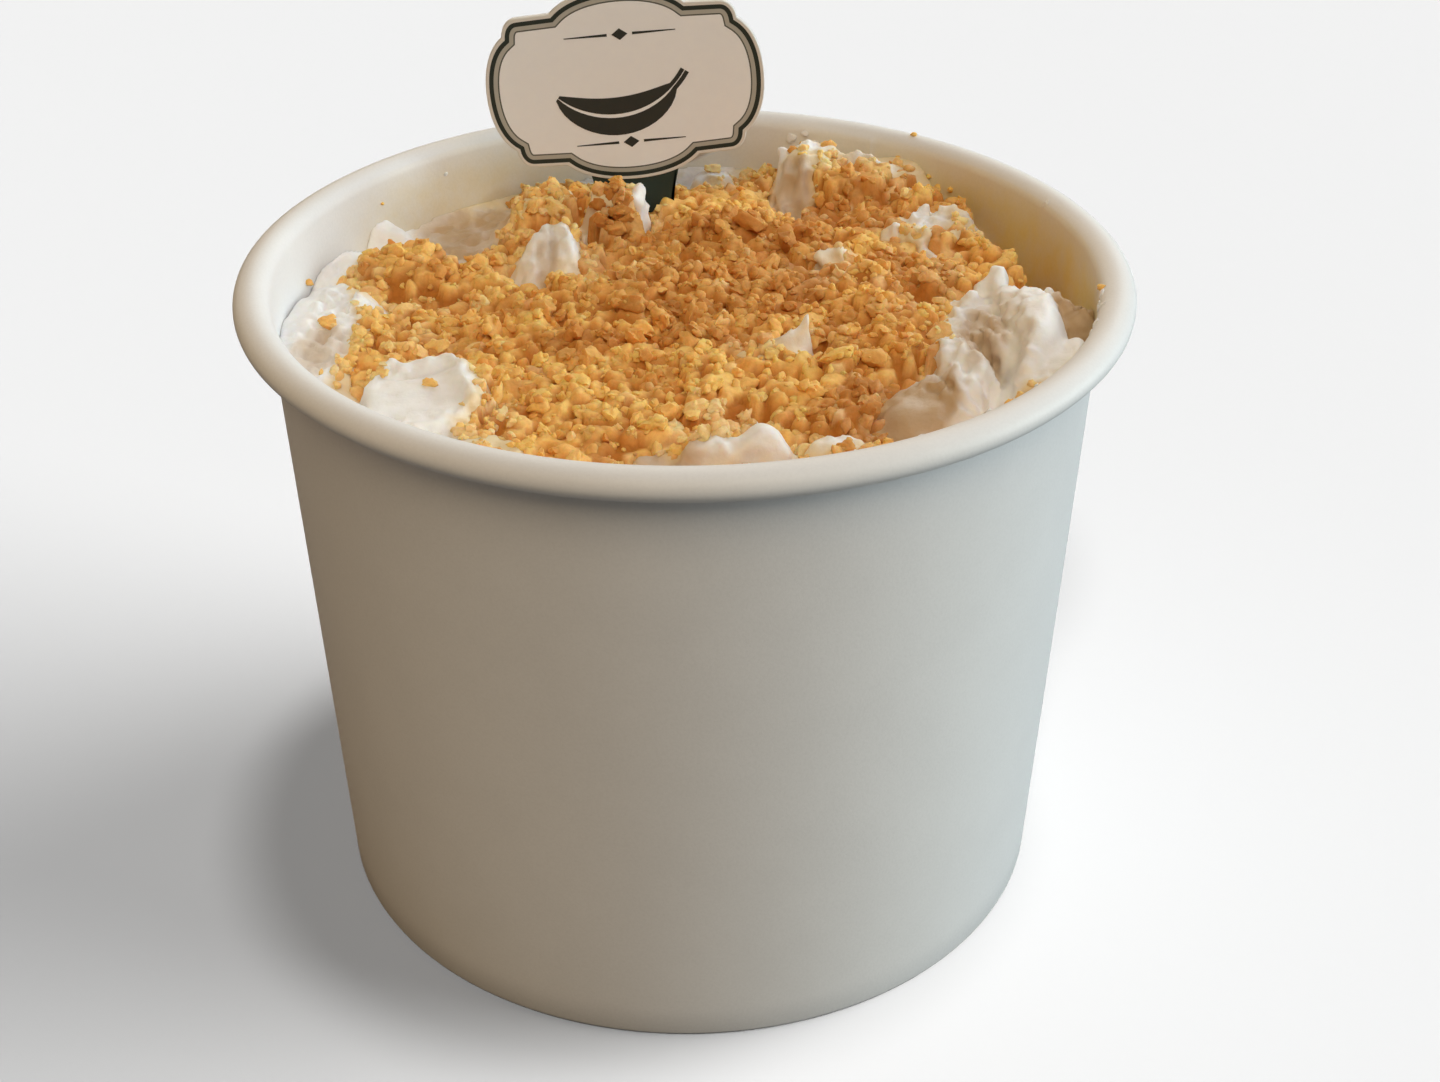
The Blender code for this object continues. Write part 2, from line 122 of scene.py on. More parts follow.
# Folds of the whipped surface: how far the crest leans, to the left of the way it runs if above 0,
# and a run of points x, y, height and half width. It is a groove where the height is below 0
FOLDS = {
    "right swirl: hollow, three ribs, lobe, torn edge, dab": [
        (0, (31.4, -4.6, -0.6, 1.4), (31.1, -8.2, -1.6, 1.9), (31.7, -11.4, -2.1, 1.7),
         (32.7, -14.6, -2.7, 1.5), (32.8, -17.8, -2.2, 1.4), (32.4, -20.6, -1, 1.2)),
        (-0.3, (31.4, -6.2, 0.8, 0.8), (32.2, -9.2, 2, 0.9), (33.2, -12.4, 1.9, 0.9),
         (33.9, -15.2, 0.8, 0.8)),
        (-0.3, (32.4, -4.4, 0.7, 0.7), (33.4, -8, 1.5, 0.7), (34.4, -11.4, 1.4, 0.7),
         (34.9, -14, 0.7, 0.7)),
        (-0.4, (34, -5, 0.5, 0.8), (35.1, -8.6, 1.2, 0.8), (35.6, -12.2, 1.1, 0.8), (35.2, -15.8, 1.2, 1),
         (34.7, -18, 0.6, 0.8)),
        (0, (27.8, -14.6, -0.4, 0.6), (28.4, -18.2, -1, 0.7), (28.4, -21.6, -0.5, 0.6)),
        (0, (25.8, -15.6, -0.3, 0.6), (26.6, -18.6, -0.7, 0.7), (27, -21, -0.3, 0.6)),
        (-0.3, (24.4, -15.8, 0.3, 0.8), (25.6, -18.6, 0.8, 0.8), (26.6, -22.6, 0.9, 0.8),
         (27.4, -24.6, 0.4, 0.8)),
        (0, (26.6, 1.2, 0.6, 0.8), (28, 0.2, 1.7, 0.9), (29.8, -1.2, 1.9, 0.9), (31.6, -1.6, 1.4, 0.9),
         (33, -1, 0.6, 0.9)),
        (0, (29.2, -3.6, 0.6, 0.9), (30.6, -4.4, 1.1, 1), (32, -3.8, 0.7, 0.9)),
    ],
    "right wall: sheet, groove": [
        (0.3, (36.4, 0.8, 0.9, 1.2), (38.6, -0.6, 1.7, 1.3), (40.2, -2.6, 1.8, 1.3),
         (41.4, -4.6, 1.5, 1.2), (42.8, -6, 1.4, 1.2), (44, -6.8, 1.4, 1.2)),
        (0, (40.2, -5.4, -0.8, 1.1), (41.4, -7.8, -2.4, 1.5), (41.7, -10.2, -2.4, 1.5),
         (40.6, -13.4, -1.2, 1.3)),
    ],
    "left front mound: edges, streak, pit, left side": [
        (0.25, (-33.4, -15, 0.6, 1.2), (-31, -14.6, 1.1, 1.4), (-28.4, -14.6, 0.7, 1.3),
         (-25.4, -14.4, 1.3, 1.5), (-23.8, -15.8, 0.9, 1.5)),
        (0.2, (-24, -16.4, 0.8, 1.5), (-22.6, -19.6, 1.3, 1.5), (-21.8, -22.6, 1, 1.5),
         (-22, -26, 0.4, 1.4)),
        (0, (-32.4, -16.6, -0.4, 0.6), (-30.2, -16.2, -0.9, 0.7), (-27.6, -16, -0.9, 0.7),
         (-26, -15.8, -0.3, 0.6)),
        (0, (-30.6, -24.6, -0.4, 0.6), (-29.9, -25, -0.9, 0.7), (-29.2, -25.2, -0.4, 0.6)),
        (0, (-35.6, -15.2, -0.9, 0.9), (-34.6, -17.4, -1.2, 0.9), (-34, -19.4, -1.6, 1),
         (-33.4, -22.4, -0.8, 1)),
        (-0.2, (-38, -14.8, 0.5, 1), (-36.8, -18, 0.9, 1), (-35.4, -21.2, 0.7, 1), (-33.6, -24.6, 0.4, 1)),
    ],
    "left wall": [
        (0, (-41.8, -12, 0.4, 2), (-42, -4, 0.9, 2.2), (-41, 4, 1, 2), (-39.4, 9, 0.5, 1.6)),
        (0.2, (-38, -9.4, 0.3, 1.3), (-38.4, -3.6, 0.9, 1.5), (-37.8, 2, 0.9, 1.4), (-36, 5.6, 0.7, 1.1),
         (-32, 6, 0.6, 0.9)),
    ],
    "twin peak: left face, groove, right face, ridge": [
        (0.2, (-16.6, 17.4, 1.5, 2), (-18, 14, 1.5, 2.2), (-19.2, 10.8, 0.9, 2.2)),
        (0, (-15.9, 16.4, -0.3, 0.8), (-16, 13.2, -1, 1), (-16.2, 10.4, -0.7, 0.9)),
        (0.2, (-14.6, 17.6, 1.7, 1.6), (-13.6, 14.4, 1.3, 1.6), (-13.6, 11.4, 0.6, 1.5)),
        (0, (-9.4, 13.2, 0.6, 0.7), (-9.9, 11.4, 2.2, 0.7), (-10.8, 9.6, 1.4, 0.7)),
    ],
    "band beside the chunk": [
        (0, (-12.4, 24.6, 1.2, 0.9), (-11.8, 22.2, 2.2, 1), (-11.4, 19.6, 1.2, 0.9)),
    ],
    "back left peak": [
        (0, (-23, 29.4, 0.8, 1), (-21.6, 31, 2, 1.1), (-19.6, 32.6, 1.2, 1)),
        (0, (-23.8, 26, 0.6, 1), (-22.2, 26.6, 1.6, 1.2), (-20.6, 26.4, 0.6, 1)),
    ],
    "chunk's cream edge": [
        (0, (-5.8, 27.4, 0.6, 1.1), (-5, 25.8, 1.6, 1.1), (-5.4, 24, 0.8, 1)),
    ],
    "back pile: side, groove, ridge": [
        (0.2, (12.6, 27.6, 0.4, 1.4), (12, 31, 1.2, 1.7), (12.4, 34.6, 1.2, 1.6)),
        (0.2, (15.4, 28.2, 0.3, 1), (14.6, 31, 1, 1), (14.6, 33.8, 0.5, 1)),
        (0, (14, 27.4, -0.4, 0.7), (13.4, 30.4, -0.9, 0.8), (13.4, 33.4, -0.5, 0.7)),
        (0.2, (18.8, 36.4, 0.8, 1), (21, 35, 1.9, 1), (23.4, 32.6, 1.5, 1), (25.4, 33, 0.6, 1)),
    ],
    "smear on the right: crest, hole, lower, left": [
        (0.2, (26.6, 20.4, 0.5, 0.8), (28.4, 21.2, 1.5, 0.9), (30, 20.4, 0.9, 0.8), (31.8, 21, 1.4, 0.9),
         (33.6, 20, 0.6, 1)),
        (0, (28.4, 18.6, -0.9, 0.7), (29.8, 18, -2.2, 0.8), (31, 17.6, -0.9, 0.7)),
        (0, (27.4, 15.4, 0.5, 1.1), (29, 14.2, 1.4, 1.2), (30.4, 12.8, 0.6, 1)),
        (0, (23.2, 18.4, 0.5, 0.9), (24.6, 18.2, 1.4, 0.9), (26, 17.4, 0.6, 0.9)),
    ],
    "curl": [
        (0, (3.4, -12.8, 0.2, 1.3), (7, -12.2, 0.8, 1.5), (10.2, -11.4, 2, 1.3), (12.2, -10.8, 3.4, 1),
         (13, -10.6, 4.2, 0.7)),
    ],
    "front cream: torn, left": [
        (0, (2.4, -28.4, 1.2, 0.8), (3.6, -26.8, 2.6, 0.8), (5.6, -27.2, 1.8, 0.8),
         (6.8, -24.6, 2.4, 0.8)),
        (0, (-5, -30.6, 0.8, 1.2), (-3.2, -30.2, 1.5, 1.1), (-1.6, -30.8, 0.7, 1.1)),
    ],
}
# Folds with a broad, rounded crest
ROUND_FOLDS = {
    "right swirl, outer band": [
        (-0.2, (35.4, -1.4, 1.3, 2.2), (37.3, -5.4, 2.8, 3.2), (38.8, -10.2, 3.7, 3.8),
         (39, -15.2, 4.1, 4.2), (37.8, -19.6, 3, 4.2), (35.6, -23.8, 1.1, 3.2)),
    ],
    "front cream": [
        (0, (6, -31.6, 0.8, 2), (8, -30.8, 2, 2.3), (9.4, -31.2, 1, 1.8)),
        (0, (-4.6, -31.8, 0.6, 1.8), (-0.6, -31.4, 1, 2.2), (3, -31.6, 1, 2)),
    ],
    "right swirl, left lobe": [
        (-0.2, (27.6, -11.6, 0.6, 1.8), (28.3, -15, 2, 2.6), (29.2, -18.4, 2.2, 2.6), (29, -22, 1.4, 2.2),
         (28.4, -24.8, 0.5, 1.6)),
    ],
    "back left bump": [
        (0, (-37.6, 23.4, 0.4, 1.6), (-35.4, 24.6, 0.9, 2), (-32.8, 24.4, 0.5, 1.8)),
    ],
}
# Where the surface falls away beside the wall, in the same way
WALL_GAP = ((34.2, 30.6, -0.6, 3), (37.6, 25.8, -2.4, 4.4), (40.6, 20, -4.8, 6), (43, 13, -6, 6.8),
            (44.4, 6, -5.4, 6.4), (44.8, 1.4, -2.6, 4), (44.6, -1.6, -0.6, 2.4))
FOLD_STEPS = 6  # points between two of a fold's own
# The cream climbs the wall by this much, within this distance of it
SMEAR_UP_THE_WALL = 1.1
SMEAR_WIDTH = 0.9
# The forms wander by this much, over lumps of this size
WANDER = 0.55
WANDER_SIZE = 4.5
# Ripples, torn ridges and grain of the cream's skin: height, and size of the lumps
RIPPLES, RIPPLE_SIZE = 0.30, 3.0
TEARS, TEAR_SIZE = 0.46, 1.8
CREAM_GRAIN, CREAM_GRAIN_SIZE = 0.20, 0.9

# Where the cream is smooth, and where it is torn and crumpled: place, strength
SMOOTH = {
    "left front mound": [(-27.4, -20.6, 6.6, 6.6, -18, 0.8)],
    "right swirl": [(38.8, -13.5, 3.6, 9, 0, 0.8), (22.8, -24.4, 4.4, 3.4, 45, 0.8)],
    "front lobe": [(7, -31, 4, 2.4, 0, 0.8)],
    "curl": [(9.6, -12, 5, 2.4, 5, 0.8)],
    "back left bump": [(-36, 24.6, 4.6, 3.6, -30, 0.8)],
}
CRUMPLED = {
    "right swirl": [(31.6, -8, 5, 9.5, -8, 0.9), (26.8, -17.4, 4.4, 6, -20, 0.9)],
    "smear on the right": [(30, 18.4, 6, 5, 0, 0.9)],
    "left wall": [(-38.6, 0, 4, 9, 0, 0.9)],
}

# Painted shade on the cream, in its hollows and on faces turned from the light, with some tint from soaked
# crumbs: place, strength
CREAM_SHADE_AND_STAIN_PLACES = {
    "left wall, mound and rim": [(-40, -8, 7, 3.4, 80, 0.6), (-35.4, -20.4, 3, 4.2, 30, 0.5),
        (-21, -28, 4.2, 2.6, -40, 0.45)],
    "back left": [(-26, 28, 8.5, 9.5, -12, 1), (-30.4, 21.6, 2.6, 2.6, 0, 0.35)],
    "twin peak": [(-16.2, 13.4, 1.6, 4.4, 0, 0.7)],
    "back pile": [(13.4, 31, 3.2, 5.2, 0, 0.75)],
    "smear on the right": [(33.8, 19.6, 3.4, 1.8, -14, 0.5)],
    "right swirl": [(31.4, -11, 3.2, 9, -8, 0.78), (26.2, -17.4, 3.4, 5.4, -20, 0.05),
        (22.8, -23.6, 7.4, 5.4, 45, 1.1)],
    "sheet at the right wall": [(42.4, -5, 3.2, 5.8, 0, 1.2)],
    "curl": [(7.4, -12.4, 4.4, 2, 5, 0.8)],
    "front": [(-2, -31, 5, 2.6, 0, 0.75), (3.6, -27.4, 3.4, 1.6, 10, 0.5)],
}
# Painted shade and warm bounce light from the crumbs on the paper's inside: middle and half width in degrees
# round the cup, and the tint
WALL_PAINTED_SHADE = {
    "right": (20.0, 44.0, (1.0, 0.88, 0.40)),
    "back": (78.0, 34.0, (1.0, 0.98, 0.88)),
    "back left": (128.0, 30.0, (0.97, 0.86, 0.64)),
}
# The painted shade on the wall's inside is gone above the first of these heights and full below the second
PAINTED_SHADE_TOP = 76.0
PAINTED_SHADE_FULL = 69.0

# Closed forms that stand up from the surface: a run of x, y, z and radius
HORNS = {
    "small spot": [
        ((15.2, 10, 70.5, 0.6), (15.9, 10.3, 70.6, 0.75), (16.8, 10.4, 70.7, 0.8), (17.7, 10.7, 71, 0.65)),
        ((16.2, 9.8, 69.8, 0.7), (16.7, 9.2, 69.8, 0.55)),
    ],
    "curl's tip": [
        ((11.8, -10.9, 70.6, 0.9), (12.6, -10.7, 72, 0.6), (12.9, -10.6, 73, 0.4)),
    ],
    "right swirl's knob": [
        ((33.8, 0.4, 69.4, 1.8), (34.4, 1, 70.8, 1.6), (34.6, 1.4, 71.8, 1.2), (34.6, 1.6, 72.5, 0.7)),
        ((32.6, 0.2, 69.6, 1.2), (33, 0.8, 70.8, 0.9)),
    ],
    "lump behind the sign": [
        ((2.4, 36, 68.4, 0.9), (3.3, 36.4, 69.7, 0.8), (4.4, 36, 69.2, 0.8)),
    ],
    "back pile's knobs": [
        ((12.8, 36.6, 71.4, 1.2), (12.4, 37, 72.4, 0.9), (12.2, 37.2, 73, 0.6)),
        ((14.6, 37, 72, 1.5), (15.4, 37.4, 73.1, 1.3), (15.9, 37.2, 73.2, 1)),
    ],
    "right swirl's foot": [
        ((35.6, -18.4, 67.8, 1.2), (35.7, -18.6, 69, 0.9)),
    ],
}

# Crumb topping
CRUMB_DEPTH = 2.3
CRUMB_DOME = 1.6
CRUMB_DOME_RADIUS = 19.0
CRUMB_REACH = 43.6  # from the axis
CRUMB_SEED = 11
CRUMB_EDGE = radians(58)  # edges of a crumb that are sharper than this stay so
# The heap rises and falls by these heights, over lumps of these sizes
CRUMB_SWELLS = ((0.8, 7.5), (1.15, 3.8))
# The relief's grid, its reach, the depth of the gaps between its lumps, the lumps' own rough
# surface, and how far the heap climbs on cream that stands out of it
RELIEF_STEP = 0.22
FIELD_REACH = CRUMB_REACH + 1.0
BETWEEN_DEPTH = 1.15
GRAIN_HEIGHT = 0.14
GRAIN_SIZE = 0.62
ON_CREAM_RISE = 1.6
CORE_CELLS = 286
# How often a place is tried for the relief's lumps and for each loose crumb, and the bareness for a
# crumb whose colour is that of crumbs far from the cream
LUMP_TRIES = 26000
CRUMB_TRIES = 30
FAR_FROM_CREAM = -2.5
# The crumbs are coarsest round this y, and less so by this distance squared
COARSEST_Y = 8
COARSE_SPREAD = 420.0
ABOVE_ALL = 90.0  # a height over everything that crumbs may fall on
# Coarse, medium and small crumb shapes: how many, subdivisions, flats broken off, lumpiness
CRUMB_SHAPES = ((40, 3, 8, 0.60), (40, 2, 4, 0.50), (16, 1, 3, 0.30))
# Loose crumbs: how many, smallest and largest radius, share of their radii between centres, how far
# out of the ground their middles are in radii, and the share left out far from the middle
LOOSE_CRUMBS = {
    "coarse_crumbs": (600, (1.0, 2.0), 0.64, (-0.5, 0.0), 0.3),
    "medium_crumbs": (1300, (0.6, 1.1), 0.6, (-0.5, 0.1), 0.0),
    "fine_crumbs": (500, (0.3, 0.55), 0.6, (-0.3, 0.3), 0.0),
    "crumb_dust": (350, (0.15, 0.34), 0.5, (0.0, 0.5), 0.0),
}
# Raised parts of the heap: place, height, steepness
HEAPS = {
    "left": [(-32.8, 12.6, 7.6, 5.2, -8, 2.2, 1.6), (-33, -4, 6, 6, 0, 0.8, 1)],
    "mass at the back": [(5, 18.8, 6.5, 4, 12, 1.7, 1.4)],
    "right of the middle": [(23, -6, 6, 9, 0, 0.9, 1)],
    "back right": [(27.4, 28.4, 5, 3.6, -40, 0.8, 1)],
    "behind the twin peak": [(-15.8, 27, 6.4, 6.6, 0, 3.2, 1.2)],
    "before the sign": [(-8.8, 24, 4.8, 4.8, 0, 1.9, 1.4)],
    "back pile": [(20.6, 31.4, 7.6, 4.8, -14, 2.6, 1.2)],
}
# Where no crumbs lie: place
BARE = {
    "left wall": [(-42.8, -4, 17, 6, 90), (-43.4, 15, 12, 4.4, 80), (-35, 4.4, 5, 1.4, 4)],
    "left front mound and rim": [(-28.3, -20.2, 6.2, 6.9, -20), (-34.6, -19.4, 2.6, 5.4, 24),
        (-27.4, -27.6, 7, 4, -44)],
    "back left": [(-34, 27, 9.5, 7, 50), (-35.4, 25, 4.6, 3.2, -36), (-25, 27.4, 3.4, 9.6, -12)],
    "twin peak": [(-17.6, 13.2, 2.9, 4.2, -14), (-14, 15, 1.5, 2.8, 4), (-9.9, 11.6, 0.7, 2, -15)],
    "beside the chunk": [(-11.8, 21.8, 0.9, 2.4, 0)],
    "back left peak": [(-21.2, 31.6, 2.6, 1.3, 42), (-16.4, 33.4, 1.8, 1, 0)],
    "behind the sign": [(2.8, 37, 3, 1.3, 0), (-5, 42.6, 12, 5, 0)],
    "chunk's cream edge": [(-5.1, 25, 1.3, 2.2, 0)],
    "back pile": [(13, 30.8, 2.4, 4.6, 0), (12.2, 36.8, 1.2, 1.3, 0), (15.5, 37.2, 1.8, 1.2, 0),
        (21.2, 34.8, 1.9, 0.8, -30), (24.4, 32.8, 1.4, 0.8, -10)],
    "smear on the right": [(28.8, 19.8, 3.2, 2, 4), (24.8, 18.4, 1.2, 0.9, 0), (29, 14.2, 1.7, 1.3, -30),
        (34.6, 19.2, 2.2, 1.1, -20)],
    "small spot": [(16.6, 10.4, 1.5, 0.6, 5)],
    "curl": [(11.3, -10.9, 2.1, 1, 8)],
    "right swirl": [(36, -9, 8.4, 12.6, -14), (26.8, -21.3, 9.4, 5.6, 52), (29, -0.4, 2.8, 1, -30)],
    "right wall": [(44, -4.4, 5, 6.6, 0)],
    "front cream": [(7.2, -30.9, 3.4, 2.3, 4), (0.4, -32.2, 4.6, 1.3, 0), (4.6, -26.9, 1.9, 0.7, 10),
        (6.8, -24.4, 0.9, 0.8, 0), (-3.6, -31, 1.6, 1.6, 0), (15.2, -30.8, 2.4, 1.2, 8)],
}
# Where the crumbs are browner, and where cream has soaked into them: place, strength
BROWNED = {
    "middle": [(5, 6, 18, 15, 20, 0.75), (8, -1, 9, 7, 10, 1), (3, -8, 7, 4.5, 0, 0.7)],
    "left of the middle": [(-12, -8, 7, 4, 0, 0.6)],
    "back": [(4, 17, 15, 8, 0, 0.85), (20, 25, 11, 6, -10, 0.8), (30, 28, 7, 7, 0, 0.6)],
    "right": [(19, -8, 7, 9, 0, 0.55), (18, -24, 9, 6, 45, 1.25)],
    "left": [(-20, 0, 7, 5, 0, 0.35), (-31, 12, 8, 5, 0, 0.35)],
    "before the sign": [(-8.6, 22.4, 3.2, 5.4, 0, 1)],
    "right of the small spots": [(25, 6, 8, 9, 0, 0.7)],
}
PALED = {
    "front": [(4, -26.4, 8, 4.6, 0, 0.9)],
    "left": [(-20.2, -23.4, 3.6, 5, 10, 0.8), (-29.5, -6.4, 4, 6, 0, 0.45)],
    "twin peak": [(-12.6, 15, 2.4, 6, 0, 0.8), (-19.4, 25, 6.4, 7, 0, 0.8)],
    "small spots": [(16.2, 6.4, 2.6, 5.4, -10, 0.8)],
    "right": [(29, 3, 3.4, 8, 0, 0.45)],
    "curl": [(6.4, -11, 4.4, 2.2, 5, 0.8)],
    "back pile": [(17.6, 35, 4, 4, 0, 0.8)],
}
# Large crumbs that can be told apart, and crumbs that lie apart on the cream: x, y, radius
LARGE_CRUMBS = (
    (-2.6, -4.8, 2.3), (0.4, -3.4, 2.1), (3.3, -8.9, 1.5), (-5.9, -1.3, 2.3), (-1.8, 4.8, 1.9),
    (4.2, 5.1, 1.8), (2.1, 2.2, 1.5), (5.3, 21.4, 2.5), (2, 19, 2.3), (-4.3, 10.8, 1.8), (-6.3, 6.7, 1.5),
    (6.9, 2.1, 1.7), (10.5, 2.8, 1.7), (8.8, -2.9, 1.6), (5.6, -2.8, 1.7), (0.8, -8.9, 1.6),
    (-12.4, -6.6, 1.9), (-12.8, -10.9, 1.7), (-9.9, -12.6, 1.7), (-5.5, -9.4, 1.7), (-4.9, -6.8, 1.6),
    (-2, -23.8, 1.7), (0.7, -23.9, 1.6), (-3.3, -26.7, 1.6), (-15.9, -1.1, 2.2), (-20.7, -4.5, 2),
    (17.4, -9.8, 1.6), (20.6, -5.1, 1.6), (19.9, -15, 1.7), (15.9, -14.9, 1.8), (13.1, -20.5, 2.2),
    (18, -24.7, 2.1), (22.6, 4, 1.6), (-12, -17.6, 1.9), (9.6, 8.2, 1.8), (5.6, 13.6, 1.9),
    (12, 14.4, 1.7), (7.6, 17.6, 1.8), (-8.4, 19.2, 1.8), (-9.8, 20.2, 1.6), (-7.4, 20.6, 1.6),
    (-9.4, 22, 1.7), (-7.6, 22.6, 1.5), (-10.4, 23.4, 1.5), (-8.4, 24, 1.8), (-10.2, 25.4, 1.6),
    (-8.2, 26.2, 1.8), (-24.6, 13, 1.9), (-28.6, 10.4, 1.8), (-34, 13, 1.8), (-31, 15, 1.9),
    (-36.6, 14.4, 1.6), (-39.8, -1.6, 1.7),
)
STRAYS = (
    (-26.6, -18.6, 0.9), (-37.4, 8.6, 1), (-38.6, 11.6, 1.2), (-34.8, 8.4, 0.9), (-38.6, -3.4, 0.5),
    (-37.6, -9.4, 0.6), (-38.8, -12.6, 0.45), (33.6, 24.2, 0.6), (35.4, -9, 0.35), (28.2, -12.4, 0.5),
    (18, 37.6, 1.2), (26.4, 34, 1), (21.6, 37, 0.7), (-20, -24.6, 1), (-20.6, -21.4, 0.9),
    (-19.6, -23, 0.8), (-21.6, -25.2, 0.8), (-19.2, -20.6, 0.7), (-22.4, -27.6, 0.7), (-17.8, 33, 0.9),
    (13.4, 0.2, 0.6), (-0.4, -29.6, 0.8), (12.4, -30.2, 0.9), (16.4, 9, 0.8), (17.4, 9.2, 0.7),
    (5, -29.8, 0.8), (2.8, -30.6, 0.9), (10.6, -29.6, 0.9), (0.8, -31, 0.8), (4, -31, 0.6),
)
# Bits on the inside of the wall and on the rim's inner edge: degrees round the cup, z, radius. The
# crumbs first, then the cream
WALL_CRUMBS = (
    (167.1, 67.8, 0.55), (144.8, 71, 0.3), (52, 71.4, 0.45), (50, 70.6, 0.55), (47.6, 71.2, 0.4),
    (45.6, 70.2, 0.6), (43, 70.4, 0.45), (53.6, 72.6, 0.35), (52.4, 75.2, 0.45), (-8.5, 74.2, 0.5),
)
WALL_CREAM = (
    (131.4, 71.6, 0.35), (72.4, 72.6, 0.8), (70.2, 73.4, 0.7), (68.4, 72.2, 0.6), (21.6, 74.2, 0.5),
    (-6, 73, 0.8), (-10, 74, 0.7), (-12, 73.2, 0.9), (-14.2, 74.2, 0.6), (-19.5, 74, 0.6),
    (-21.5, 73.6, 0.5), (-41, 74.2, 0.5), (-50.5, 74.2, 0.6), (-61, 74.1, 0.5), (-70, 74.1, 0.45),
)

# Sign, a flat card with its stake. The right side is the higher one, by this roll in degrees
SIGN_THICKNESS = 0.9
SIGN_CENTRE = (-7.07, 29.45, 84.48)
SIGN_ROLL = 5.0
SIGN_BEVEL = 0.08
PRINT_HEIGHT = 0.06
PLATE_HALF_WIDTH = 16.6
PLATE_HALF_HEIGHT = 11.8
NOTCH_SIDE = (13.9, 7.0)
CORNER_END = (11.9, 9.2)
NOTCH_TOP = (8.0, 9.35)
ARC_STEPS = 14
# The stake's left edge, downwards
STAKE_EDGE = ((-5.3, -9.55), (-5.3, -11.05), (-3.0, -19.0), (-0.4, -39.0))
# Two strips of the drawing of a banana: how far each reaches across its half thickness
BANANA_STRIPS = (("sign_banana_belly", -1.2, -0.25), ("sign_banana_back", -0.05, 0.85))
# The rules and diamonds: height on the card, and the rules' half section from the middle outwards
ORNAMENTS = {"top": 6.3, "bottom": -7.0}
RULE = ((1.5, -0.16), (6.6, -0.05), (6.6, 0.05), (1.5, 0.16))

# Colours
PAPER_COLOUR = (0.81, 0.81, 0.81)
CREAM_COLOUR = (0.93, 0.93, 0.925)
# the brown-grey of the painted shade on the cream, partly a crumb stain
CREAM_SHADE_AND_STAIN = (0.58, 0.42, 0.26)
CREAM_SOAKED = (0.86, 0.70, 0.42)
# the painted shade deep in the creases and gaps between crumbs
CREASE_SHADE = (0.54, 0.21, 0.03)
GOLDEN = (0.98, 0.59, 0.185)
BROWN = (0.625, 0.30, 0.078)
PALE = (0.96, 0.74, 0.44)
TOASTED = (0.60, 0.235, 0.04)
INK = (0.030, 0.036, 0.034)
STAKE_COLOUR = (0.022, 0.042, 0.036)
# Bands of the plate's print, from its edge inwards: how far each starts from the edge, and its colour
SIGN_BANDS = (
    ("card_edge", 0.0, (0.74, 0.73, 0.70)),
    ("border_line", 0.42, (0.020, 0.032, 0.028)),
    ("border_band", 0.95, (0.46, 0.46, 0.42)),
    ("thin_line", 1.45, (0.10, 0.11, 0.10)),
    ("sign_face", 1.62, (0.93, 0.96, 1.0)),
)
FLOOR_COLOUR = (0.40, 0.40, 0.40)
FLOOR_BOUNCE = (0.075, 0.072, 0.066)
BACKDROP = (0.887, 0.887, 0.887)
FLOOR_REACH = 6000

# Soft lights on the cup: place, width and height, power in watts for red, green and blue
LIGHTS = {
    "window": ((1950, 0, 450), (1500, 900), (25.4, 29.6, 30.2)),
    "window high in front": ((1100, -1000, 1500), (1300, 1300), (4.8, 5.1, 6.2)),
    "window high behind": ((1000, 1050, 1500), (1300, 1300), (8.8, 9.4, 10.6)),
    "lamp in front": ((0, -1300, 1800), (1600, 1200), (20.7, 16.9, 11.4)),
    "lamp behind": ((300, 1950, 900), (1800, 1200), (12.4, 11.3, 9.4)),
    "lamp behind at the left": ((-1050, 1500, 1050), (1500, 1500), (6.4, 5.4, 3.7)),
    "lamp at the left": ((-1900, -300, 900), (1500, 1500), (5.8, 3.4, 1.5)),
}
LIT_PLACE = (0, 0, 60)
# The floor's own light, the same all over: strength, softness in degrees, way it shines
FLOOR_LIGHTS = {
    "floor, from the window": (21.1, 65.7, (-0.983, -0.152, -0.105)),
    "floor, from the front": (2.19, 8, (0.087, 0.638, -0.765)),
    "floor, from above": (1.40, 8, (-0.10, 0.0, -0.995)),
}


# Meshes

def in_scene(name, data):
    obj = bpy.data.objects.new(name, data)
    bpy.context.scene.collection.objects.link(obj)
    return obj


def mesh_object(name, points, faces, surfaces, smooth=True):
    """A mesh object from points in mm and an array of triangles or of quads."""
    mesh = bpy.data.meshes.new(name)
    co = np.asarray(points, float) * MM
    mesh.from_pydata(co.tolist(), [], np.asarray(faces, int).tolist(), shade_flat=not smooth)
    for surface in surfaces:
        mesh.materials.append(surface)
    return in_scene(name, mesh)


def vectors(rows, key):
    """The vectors that rows of a mesh hold, as an array."""
    values = np.empty(len(rows) * 3)
    rows.foreach_get(key, values)
    return values.reshape(-1, 3)


def points_of(mesh):
    return vectors(mesh.vertices, "co") / MM


def set_colours(mesh, name, colours):
    attribute = mesh.color_attributes.new(name, "FLOAT_COLOR", "POINT")
    with_alpha = np.hstack([colours, np.ones((len(colours), 1))])
    attribute.data.foreach_set("color", with_alpha.astype(np.float32).ravel())


@contextmanager
def editing(obj):
    """The object's mesh as a bmesh, put back afterwards with its faces turned outwards."""
    bm = bmesh.new()
    bm.from_mesh(obj.data)
    yield bm
    bmesh.ops.recalc_face_normals(bm, faces=bm.faces)
    bm.to_mesh(obj.data)
    bm.free()


def open_edges(bm):
    return [e for e in bm.edges if e.is_boundary]


def fill_holes(bm):
    return bmesh.ops.holes_fill(bm, edges=open_edges(bm), sides=0)["faces"]


def close_body(obj):
    with editing(obj) as bm:
        bmesh.ops.triangulate(bm, faces=fill_holes(bm))


def strips(index):
    """Quads between closed rings of points, whose numbers are the rows of index."""
    after = np.roll(index, -1, axis=1)
    return np.stack([index[:-1], after[:-1], after[1:], index[1:]], -1).reshape(-1, 4)


